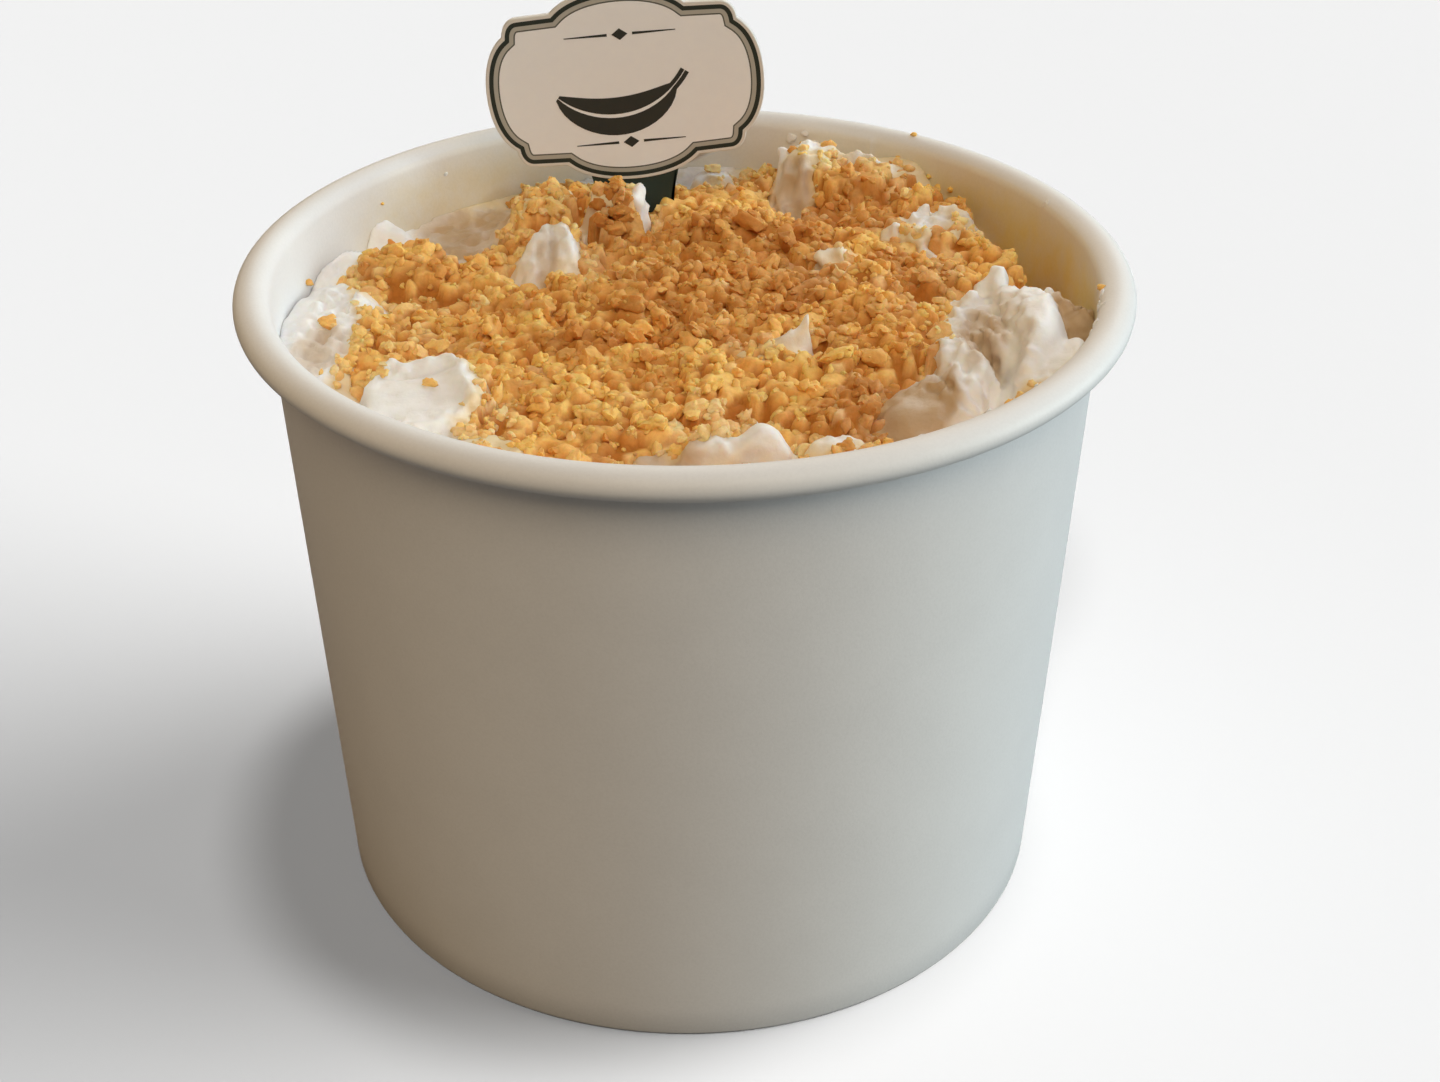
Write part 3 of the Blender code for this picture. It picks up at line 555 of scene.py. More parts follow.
def ball(subdivisions, radius):
    """Points and triangles of a ball round the origin."""
    bm = bmesh.new()
    bmesh.ops.create_icosphere(bm, subdivisions=subdivisions, radius=radius)
    points = np.array([v.co for v in bm.verts])
    faces = np.array([[v.index for v in f.verts] for f in bm.faces])
    bm.free()
    return points, faces


def noise_at(points, size, shift=0.0):
    """Smooth noise, about -1 to 1, whose lumps are as large as size."""
    scaled = np.asarray(points) / size + shift
    return np.array([noise.noise(Vector(p)) for p in scaled])


def noise_field(x, y, size, shift=0.0):
    points = np.stack([x.ravel(), y.ravel(), np.zeros(x.size)], -1)
    return noise_at(points, size, shift).reshape(x.shape)


def smooth_step(share):
    share = np.clip(share, 0, 1)
    return share**2 * (3 - 2 * share)


def smooth_path(points, steps):
    """A smooth run through the points, by Catmull and Rom's rule."""
    points = np.array(points, float)
    ends = np.vstack([2 * points[0] - points[1], points, 2 * points[-1] - points[-2]])
    run = []
    for a, b, c, d in zip(ends, ends[1:], ends[2:], ends[3:]):
        for t in np.arange(steps) / steps:
            run.append(0.5 * (2 * b + (c - a) * t + (2 * a - 5 * b + 4 * c - d) * t * t
                              + (3 * b - a - 3 * c + d) * t**3))
    return np.array(run + [points[-1]])


def mixed(first, second, share):
    """From the first colour, where share is 0, to the second, where it is 1."""
    return np.array(first) * (1 - share) + np.array(second) * share


def every(table):
    """The entries of all the table's rows."""
    return [entry for row in table.values() for entry in row]


def in_place(x, y, place):
    """How far each point lies along and across the place, whose edge is at 1."""
    centre_x, centre_y, half_length, half_width, turn = place
    cosine, sine = cos(radians(turn)), sin(radians(turn))
    dx, dy = x - centre_x, y - centre_y
    return (dx * cosine + dy * sine) / half_length, (dy * cosine - dx * sine) / half_width


def highest(x, y, forms):
    """The height of the highest of the rounded forms. Each falls to nothing at its edge."""
    heights = []
    for *place, height, steepness in forms:
        along, across = in_place(x, y, place)
        heights.append(height * smooth_step((1.0 - along**2 - across**2) * steepness))
    return np.max(heights, axis=0)


def strongest(x, y, table):
    """The greatest strength of the table's places: 0 outside them, and most in their middles."""
    return highest(x, y, [(*place, 1.5) for place in every(table)])


def finished(piece, slot, *nodes):
    """The piece rides on the one body and stands for the nodes. The slot is not used."""
    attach(piece, BODY)
    if nodes:
        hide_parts(*nodes)
    return piece


# Materials

def add_node(tree, kind, inputs=None, **settings):
    """A node with its settings, and each input linked from a socket or set to a value."""
    node = tree.nodes.new("ShaderNode" + kind)
    for key, value in settings.items():
        setattr(node, key, value)
    for socket, value in (inputs or {}).items():
        if isinstance(value, bpy.types.NodeSocket):
            tree.links.new(value, node.inputs[socket])
        else:
            node.inputs[socket].default_value = value
    return node


def noise_node(tree, size, detail, roughness=0.6):
    """Noise whose lumps are as large as size, in mm."""
    place = add_node(tree, "TexCoord").outputs["Object"]
    return add_node(tree, "TexNoise", {
        "Vector": place, "Scale": 1 / (size * MM), "Detail": detail, "Roughness": roughness}).outputs["Fac"]


def between(tree, factor, low, high, start=0.0, end=1.0):
    """A colour that runs from low to high as factor goes from start to end."""
    ramp = add_node(tree, "ValToRGB", {"Fac": factor})
    for element, colour, position in zip(ramp.color_ramp.elements, (low, high), (start, end)):
        element.position = position
        element.color = (*colour, 1.0)
    return ramp.outputs["Color"]


def multiplied(tree, first, second, factor=1.0):
    return add_node(tree, "Mix", {0: factor, 6: first, 7: second}, data_type="RGBA",
                    blend_type="MULTIPLY").outputs[2]


def own_colour(tree, attribute):
    return add_node(tree, "Attribute", attribute_name=attribute).outputs["Color"]


def speckled(name, colour, speckle, ramp, bump, depth, strength, sockets):
    """A material. Its colour is speckled by a noise through a ramp, and a noise makes its bump. A
    noise is its size, detail and roughness, and the sockets are the shader's own values."""
    made = bpy.data.materials.new(name)
    made.use_nodes = True
    tree = made.node_tree
    shader = tree.nodes["Principled BSDF"]
    speckles = between(tree, noise_node(tree, *speckle), *ramp)
    tree.links.new(multiplied(tree, colour(tree), speckles), shader.inputs["Base Color"])
    normal = add_node(tree, "Bump", {
        "Height": noise_node(tree, *bump), "Distance": depth * MM, "Strength": strength})
    tree.links.new(normal.outputs["Normal"], shader.inputs["Normal"])
    for socket, value in sockets.items():
        shader.inputs[socket].default_value = value
    return made


def paper_colour(tree):
    """Slightly cloudy, and tinted in patches by the painted shade and bounce light on the cup's inside."""
    lighter = [c * 1.03 for c in PAPER_COLOUR]
    clouds = between(tree, noise_node(tree, 9.0, 2.0), PAPER_COLOUR, lighter, 0.3, 0.7)
    patches = between(tree, noise_node(tree, 4.0, 4.0), (0.55,) * 3, (1, 1, 1), 0.3, 0.6)
    # painted shade and bounce light of the cup's inside, in noisy patches
    return multiplied(tree, clouds, own_colour(tree, "painted_shade"), patches)


def paper_material():
    return speckled(
        "white_paper", paper_colour, (0.35, 4.0), ((0.965,) * 3, (1, 1, 1), 0.3, 0.6),
        (0.35, 4.0), 0.03, 0.5, {"Roughness": 0.5, "Specular IOR Level": 0.35})


def cream_material():
    return speckled(
        "whipped_cream", lambda tree: own_colour(tree, "cream_colour"), (2.2, 4.0),
        ((0.96, 0.95, 0.935), (1.02,) * 3, 0.3, 0.65), (0.5, 5.0), 0.12, 0.6,
        {"Roughness": 0.42, "Specular IOR Level": 0.45, "Subsurface Weight": 0.3,
         "Subsurface Radius": (1.0, 0.75, 0.5), "Subsurface Scale": 0.9 * MM})


def crumb_material(name, darken, grain):
    """Cookie crumbs: each crumb's own colour, with a baked, open grain."""
    return speckled(
        name, lambda tree: own_colour(tree, "crumb_colour"), (grain, 4.0, 0.65),
        (darken, (1.06, 1.04, 1.0), 0.32, 0.6), (grain, 4.0, 0.65), 0.13, 0.65,
        {"Roughness": 0.72, "Specular IOR Level": 0.35, "Subsurface Weight": 0.55,
         "Subsurface Radius": (1.0, 0.5, 0.2), "Subsurface Scale": 0.7 * MM})


def plain_print(name, colour, roughness=0.45):
    """Ink or coating on the card, with a faint unevenness."""
    return speckled(
        name, lambda tree: (*colour, 1.0), (1.6, 3.0), ((0.985,) * 3, (1.015,) * 3, 0.3, 0.7),
        (0.25, 3.0), 0.015, 0.5, {"Roughness": roughness, "Specular IOR Level": 0.4})


# Camera, floor and light

def add_camera():
    data = bpy.data.cameras.new("camera")
    data.sensor_width = SENSOR_WIDTH
    data.lens = CAMERA_LENS
    data.clip_start = 0.01
    camera = in_scene("camera", data)
    yaw, pitch, roll = (radians(a) for a in (CAMERA_YAW, CAMERA_PITCH, CAMERA_ROLL))
    turn = Matrix.Rotation(-yaw, 4, "Z") @ Matrix.Rotation(pi / 2 - pitch, 4, "X")
    place = Matrix.Translation(Vector(CAMERA_PLACE) * MM)
    camera.matrix_world = place @ turn @ Matrix.Rotation(roll, 4, "Z")
    bpy.context.scene.camera = camera


def seen_and_felt(tree, output, seen, felt):
    """The camera sees the first shader, and everything else is lit by the second."""
    ray = add_node(tree, "LightPath").outputs["Is Camera Ray"]
    mix = add_node(tree, "MixShader", {0: ray, 1: felt.outputs[0], 2: seen.outputs[0]})
    tree.links.new(mix.outputs[0], tree.nodes[output].inputs["Surface"])


def add_floor():
    """A pale floor. The camera sees it lit by its own even light, and the cup sees a dimmer one."""
    made = bpy.data.materials.new("floor")
    made.use_nodes = True
    tree = made.node_tree
    tree.nodes.remove(tree.nodes["Principled BSDF"])
    darker = [c * 0.995 for c in FLOOR_COLOUR]
    grain = between(tree, noise_node(tree, 40.0, 2.0), darker, FLOOR_COLOUR)
    seen_and_felt(tree, "Material Output", add_node(tree, "BsdfDiffuse", {"Color": grain}),
                  add_node(tree, "BsdfDiffuse", {"Color": (*FLOOR_BOUNCE, 1.0)}))
    corners = [(x * FLOOR_REACH, y * FLOOR_REACH, 0) for x, y in ((-1, -1), (1, -1), (1, 1), (-1, 1))]
    floor = mesh_object("floor", corners, [(0, 1, 2, 3)], [made], smooth=False)
    return floor


def add_light(kind, name, place, way, floor, state, **settings):
    """A light that shines the way given, either on the floor alone or on everything but it."""
    data = bpy.data.lights.new(name, kind)
    for key, value in settings.items():
        setattr(data, key, value)
    light = in_scene(name, data)
    light.location = Vector(place) * MM
    light.rotation_euler = Vector(way).to_track_quat("-Z", "Y").to_euler()
    receivers = bpy.data.collections.new(name)
    receivers.objects.link(floor)
    receivers.collection_objects[0].light_linking.link_state = state
    light.light_linking.receiver_collection = receivers


def add_lights(floor):
    for name, (place, (width, height), powers) in LIGHTS.items():
        most = max(powers)
        add_light("AREA", name, place, Vector(LIT_PLACE) - Vector(place), floor, "EXCLUDE",
                  shape="RECTANGLE", size=width * MM, size_y=height * MM, energy=most,
                  color=[p / most for p in powers])
    for name, (strength, softness, way) in FLOOR_LIGHTS.items():
        add_light("SUN", name, (0, 0, 0), way, floor, "INCLUDE", energy=strength,
                  angle=radians(softness))


def add_room():
    world = bpy.data.worlds.new("room")
    world.use_nodes = True
    tree = world.node_tree
    dark = tree.nodes["Background"]
    dark.inputs["Color"].default_value = (0.0, 0.0, 0.0, 1.0)
    seen_and_felt(tree, "World Output", add_node(tree, "Background", {"Color": (*BACKDROP, 1.0)}), dark)
    scene = bpy.context.scene
    scene.world = world
    scene.view_settings.view_transform = "Standard"
    scene.cycles.use_denoising = True


# Cup

def inner_radius(z):
    return wall_radius(z) - PAPER


def wall_radius(z):
    """Outside of the paper wall."""
    return BASE_RADIUS + (TOP_RADIUS - BASE_RADIUS) * z / RIM_Z


def roll_points(depth, start, end, count):
    """Points round the rolled rim, this deep in it."""
    angles = np.radians(np.linspace(start, end, count))
    return [(RIM_RADIUS - RIM_HALF_WIDTH + (RIM_HALF_WIDTH - depth) * cos(a),
             RIM_Z + (RIM_HALF_HEIGHT - depth) * sin(a)) for a in angles]


def build_cup(surface):
    """The paper's section turned round the axis: floor, inside of the wall, rolled rim, outside of
    the wall and the skirt that it stands on. A step on each side shows where the paper overlaps."""
    low, high = np.linspace(FLOOR_UNDER + PAPER, 61.0, 9), np.linspace(63.0, 71.0, 9)
    inside = [(inner_radius(z), z) for z in (*low, *high)]
    roll = roll_points(0, 180, RIM_END_ANGLE, 34) + roll_points(PAPER, RIM_END_ANGLE, 180, 20)
    outside = [(wall_radius(z), z) for z in np.linspace(71.0, 0.5, 20)]
    hem = [(BASE_RADIUS - 0.15, 0.12), (BASE_RADIUS - 0.45, 0.0), (BASE_RADIUS - SKIRT + 0.3, 0.0),
           (BASE_RADIUS - SKIRT, 0.3)]
    floor = wall_radius(FLOOR_UNDER) - SKIRT
    under = [(floor - 0.1, FLOOR_UNDER - 0.4), (floor - 0.5, FLOOR_UNDER)]
    section = np.array(inside + roll + outside + hem + under)
    place = np.arange(len(section))
    on_inside = place < len(inside) + 4
    on_outside = (place >= len(inside + roll)) & (place < len(section) - len(under) - 1)
    turn = set(np.round(np.linspace(0, 360, CUP_STEPS, endpoint=False), 3))
    turn |= {SEAM_ANGLE + d + e for d in (0, -SEAM_WIDTH) for e in (-SEAM_EDGE, SEAM_EDGE)}
    turn = np.array(sorted(turn))
    past = (turn - SEAM_ANGLE + 180) % 360 - 180
    outer_step, inner_step = (
        np.clip(0.5 - d / (2 * SEAM_EDGE), 0, 1) * np.clip(1 + (d + 2) / SEAM_FADE, 0, 1)
        for d in (past, -past - SEAM_WIDTH))
    way = np.stack([np.cos(np.radians(turn)), np.sin(np.radians(turn)), np.zeros(len(turn))], -1)
    uneven = OUT_OF_ROUND * noise_at(way, 1 / 1.6)
    high = np.clip((section[:, 1] - OUT_OF_ROUND_FROM) / (OUT_OF_ROUND_TO - OUT_OF_ROUND_FROM), 0, 1)
    radius = (section[:, 0] + np.outer(uneven, high)
              + SEAM_STEP * (np.outer(outer_step, on_outside) - np.outer(inner_step, on_inside)))
    points = way[:, None] * radius[..., None]
    points[..., 2] = section[:, 1]
    index = np.arange(radius.size).reshape(radius.shape).T
    cup = mesh_object("paper_cup", points.reshape(-1, 3), strips(index), [surface])
    with editing(cup) as bm:
        fill_holes(bm)
        for face in bm.faces:
            face.smooth = len(face.verts) == 4
    # the paper's inside gets painted shade and painted bounce light from the crumbs
    set_colours(cup.data, "painted_shade", wall_painted_shade(points_of(cup.data)))
    return finished(cup, "cup", "cup")


def wall_painted_shade(points):
    """The tint of the paper at each point: white, but on the inside beside the crumbs it carries painted
    shade and their painted warm bounce light.
    """
    x, y, z = points.T
    degrees = np.degrees(np.arctan2(y, x))
    low = smooth_step((PAINTED_SHADE_TOP - z) / (PAINTED_SHADE_TOP - PAINTED_SHADE_FULL)) * (np.hypot(x, y) < inner_radius(z) + 0.3)
    tints = np.ones_like(points)
    for middle, half, tint in WALL_PAINTED_SHADE.values():
        share = low * smooth_step(1 - ((degrees - middle) / half) ** 2)
        tints *= 1 - share[:, None] * (1 - np.array(tint))
    return tints


# Cream

def base_level(x, y):
    return FILL_LEVEL + RISE_RIGHT * x + RISE_BACK * y


def fold(x, y, path, lean, rounded):
    """What a fold adds to the height at each point, and how far it leans there in x and y."""
    run = smooth_path(path, FOLD_STEPS)
    added = np.zeros((3, *x.shape))
    for start, end in zip(run, run[1:]):
        way = end[:2] - start[:2]
        length = np.hypot(*way)
        share = np.clip(((x - start[0]) * way[0] + (y - start[1]) * way[1]) / length**2, 0, 1)
        distance = np.hypot(x - start[0] - share * way[0], y - start[1] - share * way[1])
        top, half = (start[i] + share * (end[i] - start[i]) for i in (2, 3))
        if rounded:
            here = top * smooth_step(1.4 - 1.4 * (distance / half) ** 2)
        else:
            here = top * np.exp(-((distance / half) ** 1.5) * 2.2)
        leant = [here, -way[1] / length * lean * here, way[0] / length * lean * here]
        added = np.where(np.abs(here) > np.abs(added[0]), leant, added)
    return added


def wall_gap(x, y):
    """How far the surface falls away beside the wall."""
    return fold(x, y, WALL_GAP, 0.0, True)[0]


def cream_surface(x, y):
    """Height of the cream at each point, and the sideways lean of its folds in x and y."""
    surface = np.zeros((3, *x.shape))
    surface[0] = base_level(x, y)
    x = x + WANDER * noise_field(x, y, WANDER_SIZE, 3.0)
    y = y + WANDER * noise_field(x, y, WANDER_SIZE, 9.0)
    surface[0] += highest(x, y, every(MOUNDS))
    for table, rounded in ((FOLDS, False), (ROUND_FOLDS, True)):
        for lean, *path in every(table):
            surface += fold(x, y, path, lean, rounded)
    to_wall = np.maximum(0.0, inner_radius(FILL_LEVEL) - np.hypot(x, y))
    surface[0] += SMEAR_UP_THE_WALL * np.exp(-to_wall / SMEAR_WIDTH) + wall_gap(x, y)
    return surface


def disc_grid(cells, radius):
    """A square grid drawn out to a disc, as x and y."""
    line = np.linspace(-1, 1, cells + 1)
    u, v = np.meshgrid(line, line)
    return u * np.sqrt(1 - v * v / 2) * radius, v * np.sqrt(1 - u * u / 2) * radius


def disc_body(cells, x, y, z, bottom):
    """Points and quads of a body with the grid as its top, a wall round it and an open underside."""
    side = cells + 1
    index = np.arange(side * side).reshape(side, side)
    top = np.stack([index[:-1, :-1], index[:-1, 1:], index[1:, 1:], index[1:, :-1]], -1).reshape(-1, 4)
    ring = np.concatenate([index[0, :-1], index[:-1, -1], index[-1, :0:-1], index[:0:-1, 0]])
    upper = np.stack([x.ravel(), y.ravel(), z.ravel()], -1)
    lower = upper[ring]
    lower[:, 2] = bottom
    foot = side * side + np.arange(len(ring))
    return np.vstack([upper, lower]), np.vstack([top, strips(np.array([foot, ring]))])


def build_cream(surface):
    """The whipped pudding: a field of mounds and folds with curls on it, made one skin."""
    x, y = disc_grid(CREAM_CELLS, 1.0)
    radius = inner_radius(FILL_LEVEL)
    z, lean_x, lean_y = cream_surface(x * radius, y * radius)
    reach = inner_radius(z) + 0.05
    points, quads = disc_body(CREAM_CELLS, x * reach + lean_x, y * reach + lean_y, z, SLAB_BOTTOM)
    over = np.hypot(points[:, 0], points[:, 1]) / (inner_radius(points[:, 2]) + 0.05)
    points[:, :2] /= np.maximum(over, 1.0)[:, None]
    cream = mesh_object("cream", points, quads, [surface])
    close_body(cream)
    bodies = [cream]
    for path in every(HORNS):
        for *centre, size in smooth_path(path, FOLD_STEPS):
            points, faces = ball(2, size)
            bodies.append(mesh_object("horn", points + centre, faces, [surface]))
    with bpy.context.temp_override(active_object=cream, selected_editable_objects=bodies):
        bpy.ops.object.join()
    remesh = cream.modifiers.new("One skin", "REMESH")
    remesh.mode = "VOXEL"
    remesh.voxel_size = CREAM_VOXEL * MM
    relax = cream.modifiers.new("Relax", "SMOOTH")
    relax.factor = 0.5
    relax.iterations = 2
    raw = cream.data
    cream.data = bpy.data.meshes.new_from_object(
        cream.evaluated_get(bpy.context.evaluated_depsgraph_get()))
    cream.modifiers.clear()
    bpy.data.meshes.remove(raw)
    roughen_cream(cream.data)
    cut_and_deepen(cream)
    cream.data.shade_smooth()
    set_colours(cream.data, "cream_colour", cream_colours(points_of(cream.data)))
    return finished(cream, "pudding", "pudding")


def roughen_cream(mesh):
    """Ripples and torn ridges, along the normals. The smooth places have fewer."""
    points = points_of(mesh)
    x, y, z = points.T
    flat = points * (1, 1, 0.6)
    swell = RIPPLES * noise_at(flat, RIPPLE_SIZE)
    torn = TEARS * (0.5 - np.abs(noise_at(flat, TEAR_SIZE, 7.0)) * 2)
    fine = CREAM_GRAIN * noise_at(flat, CREAM_GRAIN_SIZE, 3.0)
    rough = 1 - strongest(x, y, SMOOTH) + strongest(x, y, CRUMPLED)
    shown = np.clip(inner_radius(z) - np.hypot(x, y), 0, 1) * np.clip((z - CREAM_CUT) / 2, 0, 1)
    moved = vectors(mesh.vertex_normals, "vector") * ((swell + (torn + fine) * rough) * shown)[:, None]
    mesh.vertices.foreach_set("co", ((points + moved) * MM).ravel())
    mesh.update()


def cream_colours(points):
    """White, beige-brown where shade is painted in its hollows and on its shaded faces, with some tint from
    soaked crumbs, and pale yellow beside the crumbs.
    """
    x, y = points[:, 0], points[:, 1]
    patches = noise_at(points, 2.6, 5.0)
    # painted shade, with some crumb stain, in noisy patches over the listed places
    painted_shade = np.clip(strongest(x, y, CREAM_SHADE_AND_STAIN_PLACES) * (1 + 0.5 * patches), 0, 1)[:, None]
    soak = np.clip(0.75 + (-0.5 - bareness(x, y)) / 1.3 + 0.7 * patches, 0, 0.9)[:, None]
    return mixed(mixed(CREAM_COLOUR, CREAM_SHADE_AND_STAIN, painted_shade), CREAM_SOAKED, soak)


def cut_and_deepen(obj):
    """Cuts the slab's hidden lower part away and draws its edge down to the cup's floor."""
    bottom = FLOOR_UNDER + PAPER + 0.3
    scale = inner_radius(bottom) / inner_radius(CREAM_CUT)
    with editing(obj) as bm:
        bmesh.ops.bisect_plane(bm, geom=[*bm.verts, *bm.edges, *bm.faces], clear_inner=True,
                               plane_co=(0, 0, CREAM_CUT * MM), plane_no=(0, 0, 1))
        down = bmesh.ops.extrude_edge_only(bm, edges=open_edges(bm))["geom"]
        for vert in (part for part in down if isinstance(part, bmesh.types.BMVert)):
            vert.co = (vert.co.x * scale, vert.co.y * scale, bottom * MM)
        fill_holes(bm)


# Crumbs

def bareness(x, y):
    """Above 0 inside a place without crumbs, falling to below 0 outside all of them."""
    within = [(1 - np.hypot(*in_place(x, y, place))) * min(place[2:4]) for place in every(BARE)]
    return np.max(within, axis=0)


def sampled(field, x, y):
    """The value of a field of RELIEF_STEP at places between its points."""
    across = np.clip((np.asarray(x) + FIELD_REACH) / RELIEF_STEP, 0, field.shape[1] - 1.01)
    up = np.clip((np.asarray(y) + FIELD_REACH) / RELIEF_STEP, 0, field.shape[0] - 1.01)
    i, j = across.astype(int), up.astype(int)
    s, t = across - i, up - j
    if field.ndim == 3:
        s, t = s[..., None], t[..., None]
    return ((field[j, i] * (1 - s) + field[j, i + 1] * s) * (1 - t)
            + (field[j + 1, i] * (1 - s) + field[j + 1, i + 1] * s) * t)


def lump_top(draw, u, v):
    """Height of one broken lump over its middle, inside the circle of radius 1."""
    top = np.sqrt(np.maximum(0.0, 1 - u * u - v * v))
    for _ in range(3):
        angle = draw.uniform(0, tau)
        slope = draw.uniform(0.15, 1.1)
        top = np.minimum(top, draw.uniform(0.50, 0.9) + slope * (u * cos(angle) + v * sin(angle)))
    return np.where(u * u + v * v < 1, top, -9.0)


def relief(draw):
    """The heap as a height field packed with lumps: its height, its colours with painted shade in the gaps
    between lumps, and how bare it is.
    """
    line = np.arange(-FIELD_REACH, FIELD_REACH + RELIEF_STEP, RELIEF_STEP)
    x, y = np.meshgrid(line, line)
    edge = bareness(x, y) + 0.7 * noise_field(x, y, 2.4)
    cream = cream_surface(x, y)[0]
    dome = np.exp(-(x * x + y * y) / (2 * CRUMB_DOME_RADIUS**2))
    heap = base_level(x, y) + CRUMB_DEPTH + CRUMB_DOME * dome + wall_gap(x, y) + highest(x, y, every(HEAPS))
    heap += sum(height * noise_field(x, y, size, 20.0) for height, size in CRUMB_SWELLS)
    level = np.maximum(heap, np.minimum(cream + 0.2, heap + ON_CREAM_RISE))
    border = np.clip((edge + 1.8) / 1.8, 0, 1)
    level = level * (1 - border) + np.minimum(level, cream + 0.3) * border
    height = level - BETWEEN_DEPTH - 5.0 * np.clip((edge + 0.9) / 1.2, 0, 1)
    # the gaps between lumps start in the painted crease shade
    colours = np.tile(CREASE_SHADE, (*x.shape, 1))
    spacing = Spacing(cell=3.0)
    for _ in range(LUMP_TRIES):
        cx = draw.uniform(-CRUMB_REACH, CRUMB_REACH)
        cy = draw.uniform(-CRUMB_REACH, CRUMB_REACH)
        here = float(sampled(edge, cx, cy))
        size = 0.9 + 0.9 * draw.random() ** 1.6 * (0.7 + 0.5 * middle_share(cx, cy))
        if here > -0.25 or hypot(cx, cy) + size > CRUMB_REACH or not spacing.room(cx, cy, size, 0.66):
            continue
        half_length, half_width = size * draw.uniform(0.95, 1.3), size * draw.uniform(0.75, 1.0)
        rise = size * draw.uniform(0.65, 1.0)
        place = (cx, cy, half_length, half_width, draw.uniform(0, 360))
        low, left = (int((c - half_length + FIELD_REACH) / RELIEF_STEP) for c in (cy, cx))
        span = int(2 * half_length / RELIEF_STEP) + 2
        patch = (slice(low, low + span), slice(left, left + span))
        top = lump_top(draw, *in_place(x[patch], y[patch], place))
        top = float(sampled(level, cx, cy)) - size * draw.uniform(0.25, 0.6) + rise * top
        more = top > height[patch]
        height[patch] = np.where(more, top, height[patch])
        colours[patch][more] = crumb_colour(draw, cx, cy, here)
    height += GRAIN_HEIGHT * noise_field(x, y, GRAIN_SIZE)
    # painted shade: the lumps' colours darken to the crease shade deeper in the gaps
    crease = np.clip((height - level + 0.75) / 0.9, 0, 1)[..., None]
    return height, mixed(CREASE_SHADE, colours, crease), edge


class Spacing:
    """Keeps circles in a plane from lying too close together."""

    def __init__(self, cell):
        self.cell = cell
        self.placed = {}

    def room(self, x, y, size, share):
        """Whether there is room, with this share of both radii between centres. If so, it is taken."""
        i, j = int(x // self.cell), int(y // self.cell)
        for cell in ((a, b) for a in (i - 1, i, i + 1) for b in (j - 1, j, j + 1)):
            for px, py, other in self.placed.get(cell, ()):
                if hypot(x - px, y - py) < share * (size + other):
                    return False
        self.placed.setdefault((i, j), []).append((x, y, size))
        return True


def build_crumb_core(surface, height, colours):
    """The heap that the loose crumbs lie on, sunk into the cream where none lie."""
    x, y = disc_grid(CORE_CELLS, CRUMB_REACH)
    points, quads = disc_body(CORE_CELLS, x, y, sampled(height, x, y), SLAB_BOTTOM + 2)
    core = mesh_object("crumb_heap", points, quads, [surface])
    foot = np.tile(CREASE_SHADE, (len(points) - x.size, 1))
    set_colours(core.data, "crumb_colour", np.vstack([sampled(colours, x, y).reshape(-1, 3), foot]))
    close_body(core)
    return finished(core, "crumb_topping", "crumb_topping")


def crumb_shape(draw, subdivisions, cuts, lumps):
    """One crumb of about radius 1: a lumpy ball with flats broken off it and a rough grain."""
    points, faces = ball(subdivisions, 1.0)
    shift = draw.uniform(0, 50)
    lumpy = noise_at(points, 0.8, shift) + 0.45 * noise_at(points, 0.4, shift)
    points *= 1 + lumps * lumpy[:, None]
    for _ in range(cuts):
        flat = np.array([draw.gauss(0, 1) for _ in range(3)])
        flat /= np.linalg.norm(flat)
        beyond = points @ flat - draw.uniform(0.50, 0.95)
        points = points - np.outer(np.maximum(beyond, 0) * 0.8, flat)
    points *= 1 + 0.45 * lumps * noise_at(points, 0.4, shift + 9)[:, None]
    return points / np.linalg.norm(points, axis=1).max(), faces


def crumb_colour(draw, x, y, edge):
    """Golden at the left and front, browner in listed places, darker brown as painted shade in the heap's
    dips, paler beside the cream.
    """
    patch = noise.noise(Vector((x, y, 31.0)) / 5.5)
    size = CRUMB_SWELLS[1][1]
    # painted shade: browner and more often toasted where the heap's swells dip
    dip_shade = max(-0.5, -noise.noise(Vector((x / size + 20, y / size + 20, 20.0))))
    brown = strongest(x, y, BROWNED) + 0.45 * patch + 0.6 * dip_shade + draw.gauss(0, 0.13)
    colour = mixed(GOLDEN, BROWN, min(1.15, max(0.0, brown)))
    pale = max(min(0.9, edge / 2.4 + 1), strongest(x, y, PALED)) * draw.uniform(0.1, 1.0)
    if draw.random() < 0.06:
        pale = max(pale, draw.uniform(0.2, 0.6))
    colour = mixed(colour, PALE, pale)
    # toasted at random and in patches, and as painted shade in the dips
    if draw.random() < 0.06 + 0.25 * max(0.0, patch) + 0.5 * max(0.0, dip_shade):
        colour = mixed(colour, TOASTED, 0.55)
    return np.minimum(0.97, colour * draw.uniform(0.92, 1.08))


def near_sign(x, y, room):
    """Whether a crumb of this radius would touch the stake."""
    return abs(y - SIGN_CENTRE[1]) < room + 0.8 and abs(x - SIGN_CENTRE[0] - 1.5) < room + 5.5


def middle_share(x, y):
    """1 where the crumbs are coarsest, less towards the rim."""
    return exp(-(x * x + (y - COARSEST_Y) ** 2) / COARSE_SPREAD)


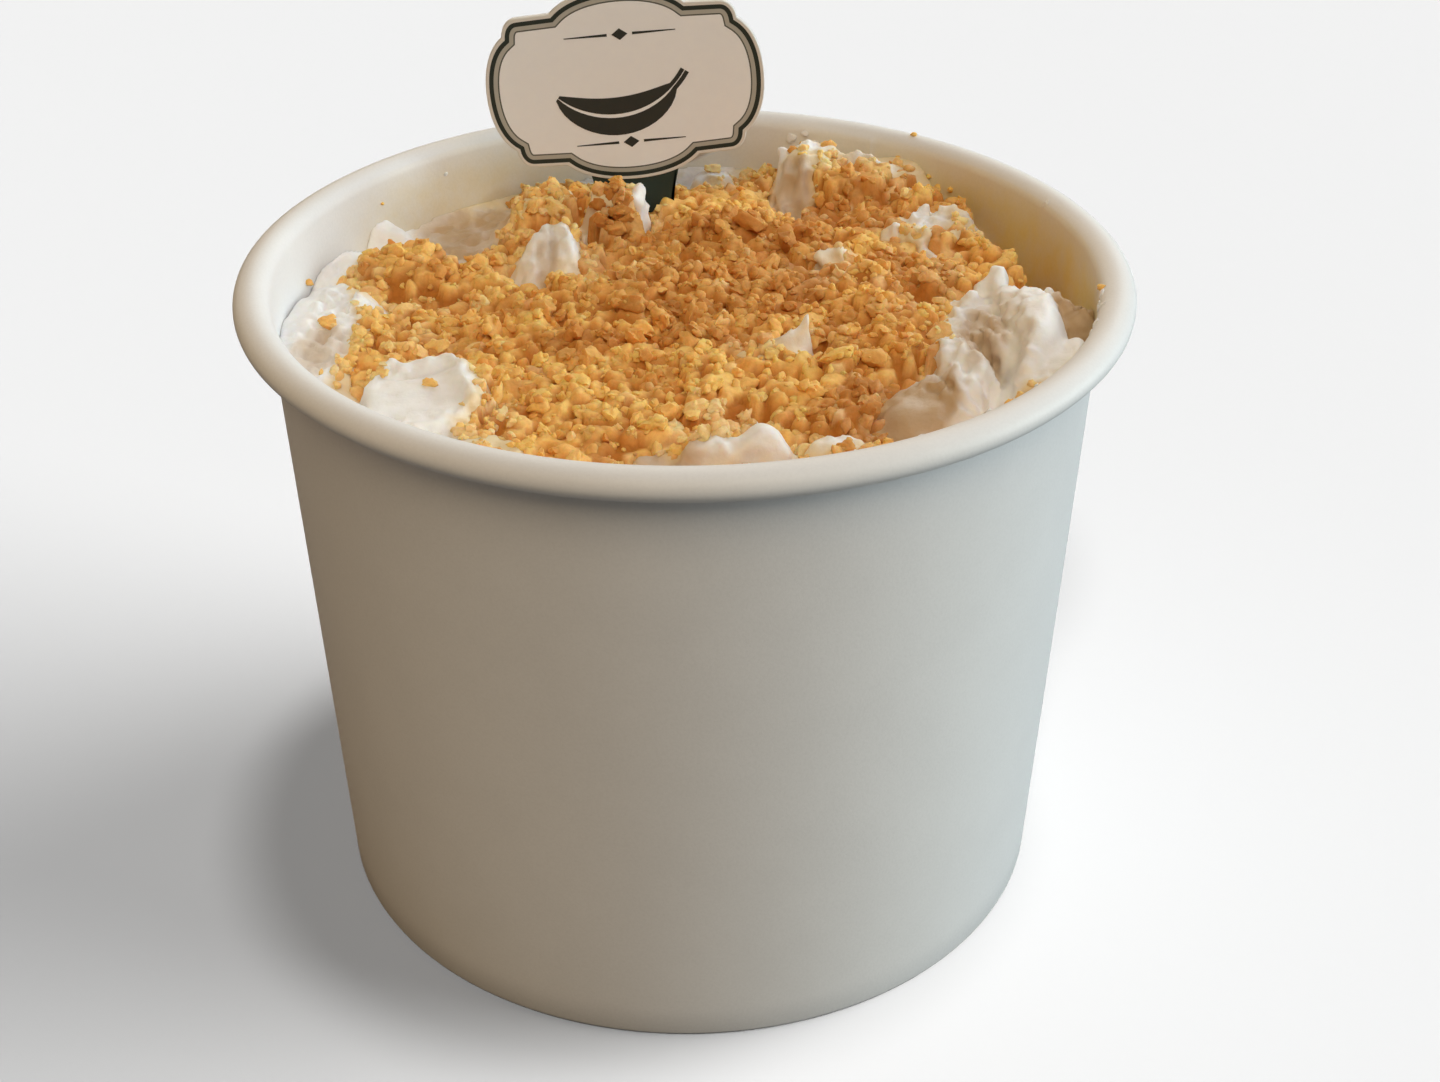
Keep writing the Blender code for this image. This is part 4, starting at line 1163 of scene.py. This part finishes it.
class Heap:
    """Crumbs of one kind, gathered into one mesh."""

    def __init__(self, draw, shapes):
        self.draw = draw
        self.shapes = shapes
        self.points, self.faces, self.colours = [], [], []
        self.total = 0

    def add(self, centre, size, colour):
        shape, faces = self.draw.choice(self.shapes)
        stretch = [self.draw.uniform(*span) for span in ((0.95, 1.45), (0.8, 1.15), (0.65, 1.0))]
        axis = Vector([self.draw.gauss(0, 1) for _ in range(3)]).normalized()
        turn = np.array(Matrix.Rotation(self.draw.uniform(0, tau), 3, axis))
        self.points.append((shape * stretch * size) @ turn.T + centre)
        self.faces.append(faces + self.total)
        self.colours.append(np.tile(colour, (len(shape), 1)))
        self.total += len(shape)

    def piece(self, name, surface, attribute="crumb_colour", slot="crumb_topping"):
        made = mesh_object(name, np.vstack(self.points), np.vstack(self.faces), [surface])
        set_colours(made.data, attribute, np.vstack(self.colours))
        made.data.set_sharp_from_angle(angle=CRUMB_EDGE)
        return finished(made, slot)


def scatter(name, surface, heap, ground, edge):
    """Loose crumbs at random places of the heap, each set on what lies under it."""
    count, (smallest, largest), share, sink, thin = LOOSE_CRUMBS[name]
    draw = heap.draw
    spacing = Spacing(cell=4.0)
    made = 0
    for _ in range(count * CRUMB_TRIES):
        if made == count:
            break
        distance = CRUMB_REACH * sqrt(draw.random())
        angle = draw.uniform(0, tau)
        x, y = distance * cos(angle), distance * sin(angle)
        here = float(sampled(edge, x, y))
        if here > -0.1 or (here > -0.8 and draw.random() < 0.4):
            continue
        middle = middle_share(x, y)
        if draw.random() < thin * (1 - middle):
            continue
        size = smallest + (largest - smallest) * draw.random() ** 1.6 * (0.55 + 0.45 * middle)
        if distance + size > CRUMB_REACH + 0.4 or near_sign(x, y, size):
            continue
        if spacing.room(x, y, size, share):
            hit, normal = ground(x, y)
            centre = hit + normal * size * draw.uniform(*sink)
            heap.add(centre, size, crumb_colour(draw, x, y, here))
            made += 1
    return heap.piece(name, surface)


def ground_under(*pieces):
    """A function that finds the highest of the pieces under a place: the point and its normal."""
    graph = bpy.context.evaluated_depsgraph_get()
    trees = [BVHTree.FromObject(piece, graph) for piece in pieces]

    def find(x, y):
        hits = [tree.ray_cast(Vector((x * MM, y * MM, ABOVE_ALL * MM)), Vector((0, 0, -1))) for tree in trees]
        hit, normal, _, _ = max((h for h in hits if h[0]), key=lambda h: h[0].z)
        return np.array(hit) / MM, np.array(normal)

    return find


def add_placed(name, surface, heap, ground, places, edge=FAR_FROM_CREAM):
    """Crumbs at listed places, set on what lies under them. They are paler with edge nearer 0."""
    for x, y, size in places:
        hit, normal = ground(x, y)
        heap.add(hit + normal * size * 0.15, size, crumb_colour(heap.draw, x, y, edge))
    return heap.piece(name, surface)


def on_wall(degrees, z, size):
    """A place on the inside of the wall or of the rim for a bit of this radius, and the way into
    the paper there."""
    tilt = min(1.0, max(0.0, z - RIM_Z) / RIM_HALF_HEIGHT)
    level = sqrt(1 - tilt**2)
    reach = inner_radius(min(z, RIM_Z)) + RIM_HALF_WIDTH * (1 - level) - 0.35 * size
    way = np.array((cos(radians(degrees)), sin(radians(degrees)), 0))
    return way * reach + (0, 0, z), way * level - (0, 0, tilt)


def build_crumbs(cream):
    surface = crumb_material("cookie_crumb", (0.91, 0.86, 0.76), 0.5)
    draw = random.Random(CRUMB_SEED)
    height, colours, edge = relief(draw)
    core = build_crumb_core(crumb_material("crumb_heap", (0.90, 0.84, 0.74), 0.7), height, colours)
    coarse_shapes, medium_shapes, small_shapes = (
        [crumb_shape(draw, *shape) for _ in range(count)] for count, *shape in CRUMB_SHAPES)
    ground = ground_under(cream, core)
    large = add_placed("large_crumbs", surface, Heap(draw, coarse_shapes), ground, LARGE_CRUMBS)
    coarse = scatter("coarse_crumbs", surface, Heap(draw, coarse_shapes), ground, edge)
    upper = ground_under(cream, core, coarse, large)
    scatter("medium_crumbs", surface, Heap(draw, medium_shapes), upper, edge)
    scatter("fine_crumbs", surface, Heap(draw, medium_shapes), upper, edge)
    scatter("crumb_dust", surface, Heap(draw, small_shapes), upper, edge)
    add_placed("stray_crumbs", surface, Heap(draw, coarse_shapes), ground, STRAYS, -0.9)
    wall = Heap(draw, medium_shapes)
    for degrees, z, size in WALL_CRUMBS:
        wall.add(on_wall(degrees, z, size)[0], size, crumb_colour(draw, 0, 30, FAR_FROM_CREAM))
    wall.piece("crumbs_on_the_wall", surface)


def build_wall_cream(surface):
    """Dabs of cream on the inside of the wall and on the rim's inner edge, flattened against it."""
    draw = random.Random(CRUMB_SEED)
    heap = Heap(draw, [crumb_shape(draw, 3, 0, 0.35) for _ in range(6)])
    for degrees, z, size in WALL_CREAM:
        heap.add(np.zeros(3), size, CREAM_COLOUR)
        place, way = on_wall(degrees, z, 0.1)
        dab = heap.points[-1]
        dab -= np.outer(dab @ way, way) * 0.65
        dab += place
    heap.piece("cream_on_the_wall", surface, "cream_colour", "pudding")


# Sign

def curve(steps, *corners):
    """Points on a cubic curve between four corners, without its last one."""
    t = np.arange(steps)[:, None] / steps
    weights = np.hstack([(1 - t) ** 3, 3 * t * (1 - t) ** 2, 3 * t * t * (1 - t), t**3])
    return [tuple(p) for p in weights @ np.array(corners, float)]


def plate_outline():
    """The whole plate, anticlockwise: its upper right quarter and that one's mirror images."""
    side = (PLATE_HALF_WIDTH, 0.0)
    top = (0.0, PLATE_HALF_HEIGHT)
    upper = (curve(ARC_STEPS, side, (PLATE_HALF_WIDTH, 3.4), (15.6, 5.8), NOTCH_SIDE)
             + curve(ARC_STEPS - 4, NOTCH_SIDE, (13.8, 8.3), (13.0, 9.2), CORNER_END) + [CORNER_END]
             + curve(ARC_STEPS, NOTCH_TOP, (6.4, 10.9), (3.6, PLATE_HALF_HEIGHT), top) + [top])
    upper += [(-x, y) for x, y in reversed(upper[:-1])]
    return np.array(upper + [(-x, -y) for x, y in upper[1:-1]])


def units(rows):
    return rows / np.linalg.norm(rows, axis=1)[:, None]


def left_of(rows):
    """The rows turned a quarter to the left."""
    return np.column_stack([-rows[:, 1], rows[:, 0]])


def inset(outline, distance):
    """The outline moved inwards, each corner along its own middle line."""
    after = units(np.roll(outline, -1, axis=0) - outline)
    before = np.roll(after, 1, axis=0)
    inward = units(left_of(before + after))
    cosine = np.maximum(0.6, (inward * left_of(after)).sum(axis=1))
    return outline + inward * (distance / cosine)[:, None]


def on_sign(points):
    """From the sign's own plane to the cup's frame."""
    turn = Matrix.Rotation(radians(-SIGN_ROLL), 4, "Y") @ Matrix.Rotation(radians(90), 4, "X")
    place = np.array(Matrix.Translation(SIGN_CENTRE) @ turn)
    return (np.hstack([points, np.ones((len(points), 1))]) @ place.T)[:, :3]


def card(name, rings, surfaces, bands=(0,)):
    """A flat piece in the sign's plane, through closed rings of points, each with its depth. The
    bands are the surfaces between the rings, and the last surface is that of its face."""
    points = np.vstack([np.column_stack([ring, np.full(len(ring), z)]) for ring, z in rings])
    index = np.arange(len(points)).reshape(len(rings), -1)
    piece = mesh_object(name, on_sign(points), strips(index), surfaces, smooth=False)
    piece.data.polygons.foreach_set("material_index", np.repeat(bands, index.shape[1]))
    with editing(piece) as bm:
        bm.verts.ensure_lookup_table()
        caps = [bm.faces.new([bm.verts[i] for i in ring]) for ring in (index[-1], index[0][::-1])]
        caps[0].material_index = len(surfaces) - 1
        bmesh.ops.triangulate(bm, faces=caps)
    return piece


def plate_piece():
    """The plate: a flat card whose front is printed in bands that follow its edge."""
    surfaces = [plain_print(name, colour) for name, _, colour in SIGN_BANDS]
    outline = plate_outline()
    depth = SIGN_THICKNESS / 2 - PRINT_HEIGHT / 2
    insets = [SIGN_BEVEL] + [distance for _, distance, _ in SIGN_BANDS[1:]]
    rings = [(outline, SIGN_BEVEL - depth), (outline, depth - SIGN_BEVEL)]
    rings += [(inset(outline, distance), depth) for distance in insets]
    return finished(card("sign_plate", rings, surfaces, (0, 0, 0, 1, 2, 3)), "sign", "sign")


def banana_strip(low, high):
    """A part of a banana seen from the side, lying level with its ends up: the strip of its body
    from the share low to the share high of its thickness, measured from its middle line."""
    length, thick, bend = 17.5, 4.6, 1.7
    t = np.linspace(0, 1, 23)
    angle = (t - 0.5) * bend
    centre = length / bend * np.column_stack([np.sin(angle), 1 - np.cos(angle)])
    body = np.maximum(0.0, np.sin(pi * np.minimum(1.0, t / 0.88))) ** 0.55
    half = thick / 2 * np.maximum(body, np.where(t > 0.8, 0.24, 0.16))[:, None]
    side = left_of(units(np.gradient(centre, axis=0)))
    return np.vstack([centre + side * half * low, (centre + side * half * high)[::-1]])


def build_sign():
    plate_piece()
    half = SIGN_THICKNESS / 2 - 0.05
    stake = [*STAKE_EDGE, *((-x, y) for x, y in reversed(STAKE_EDGE))]
    finished(card("sign_stake", [(stake, -half), (stake, half - 0.1)],
                  [plain_print("green_card", STAKE_COLOUR, 0.5)]), "sign")
    turn = np.array(Matrix.Rotation(radians(8), 2))
    shapes = {name: banana_strip(low, high) @ turn.T + (0.0, -3.2) for name, low, high in BANANA_STRIPS}
    for name, y in ORNAMENTS.items():
        for side, sign in (("left", -1), ("right", 1)):
            shapes[f"sign_rule_{name}_{side}"] = [(sign * x, y + dy) for x, dy in RULE]
        shapes[f"sign_diamond_{name}"] = [(-0.95, y), (0.0, y - 0.7), (0.95, y), (0.0, y + 0.7)]
    ink = plain_print("dark_ink", INK)
    front = SIGN_THICKNESS / 2
    for name, outline in shapes.items():
        finished(card(name, [(outline, front - PRINT_HEIGHT), (outline, front)], [ink]), "sign")


def main():
    add_camera()
    add_lights(add_floor())
    add_room()
    build_cup(paper_material())
    whipped = cream_material()
    build_crumbs(build_cream(whipped))
    build_wall_cream(whipped)
    build_sign()


main()
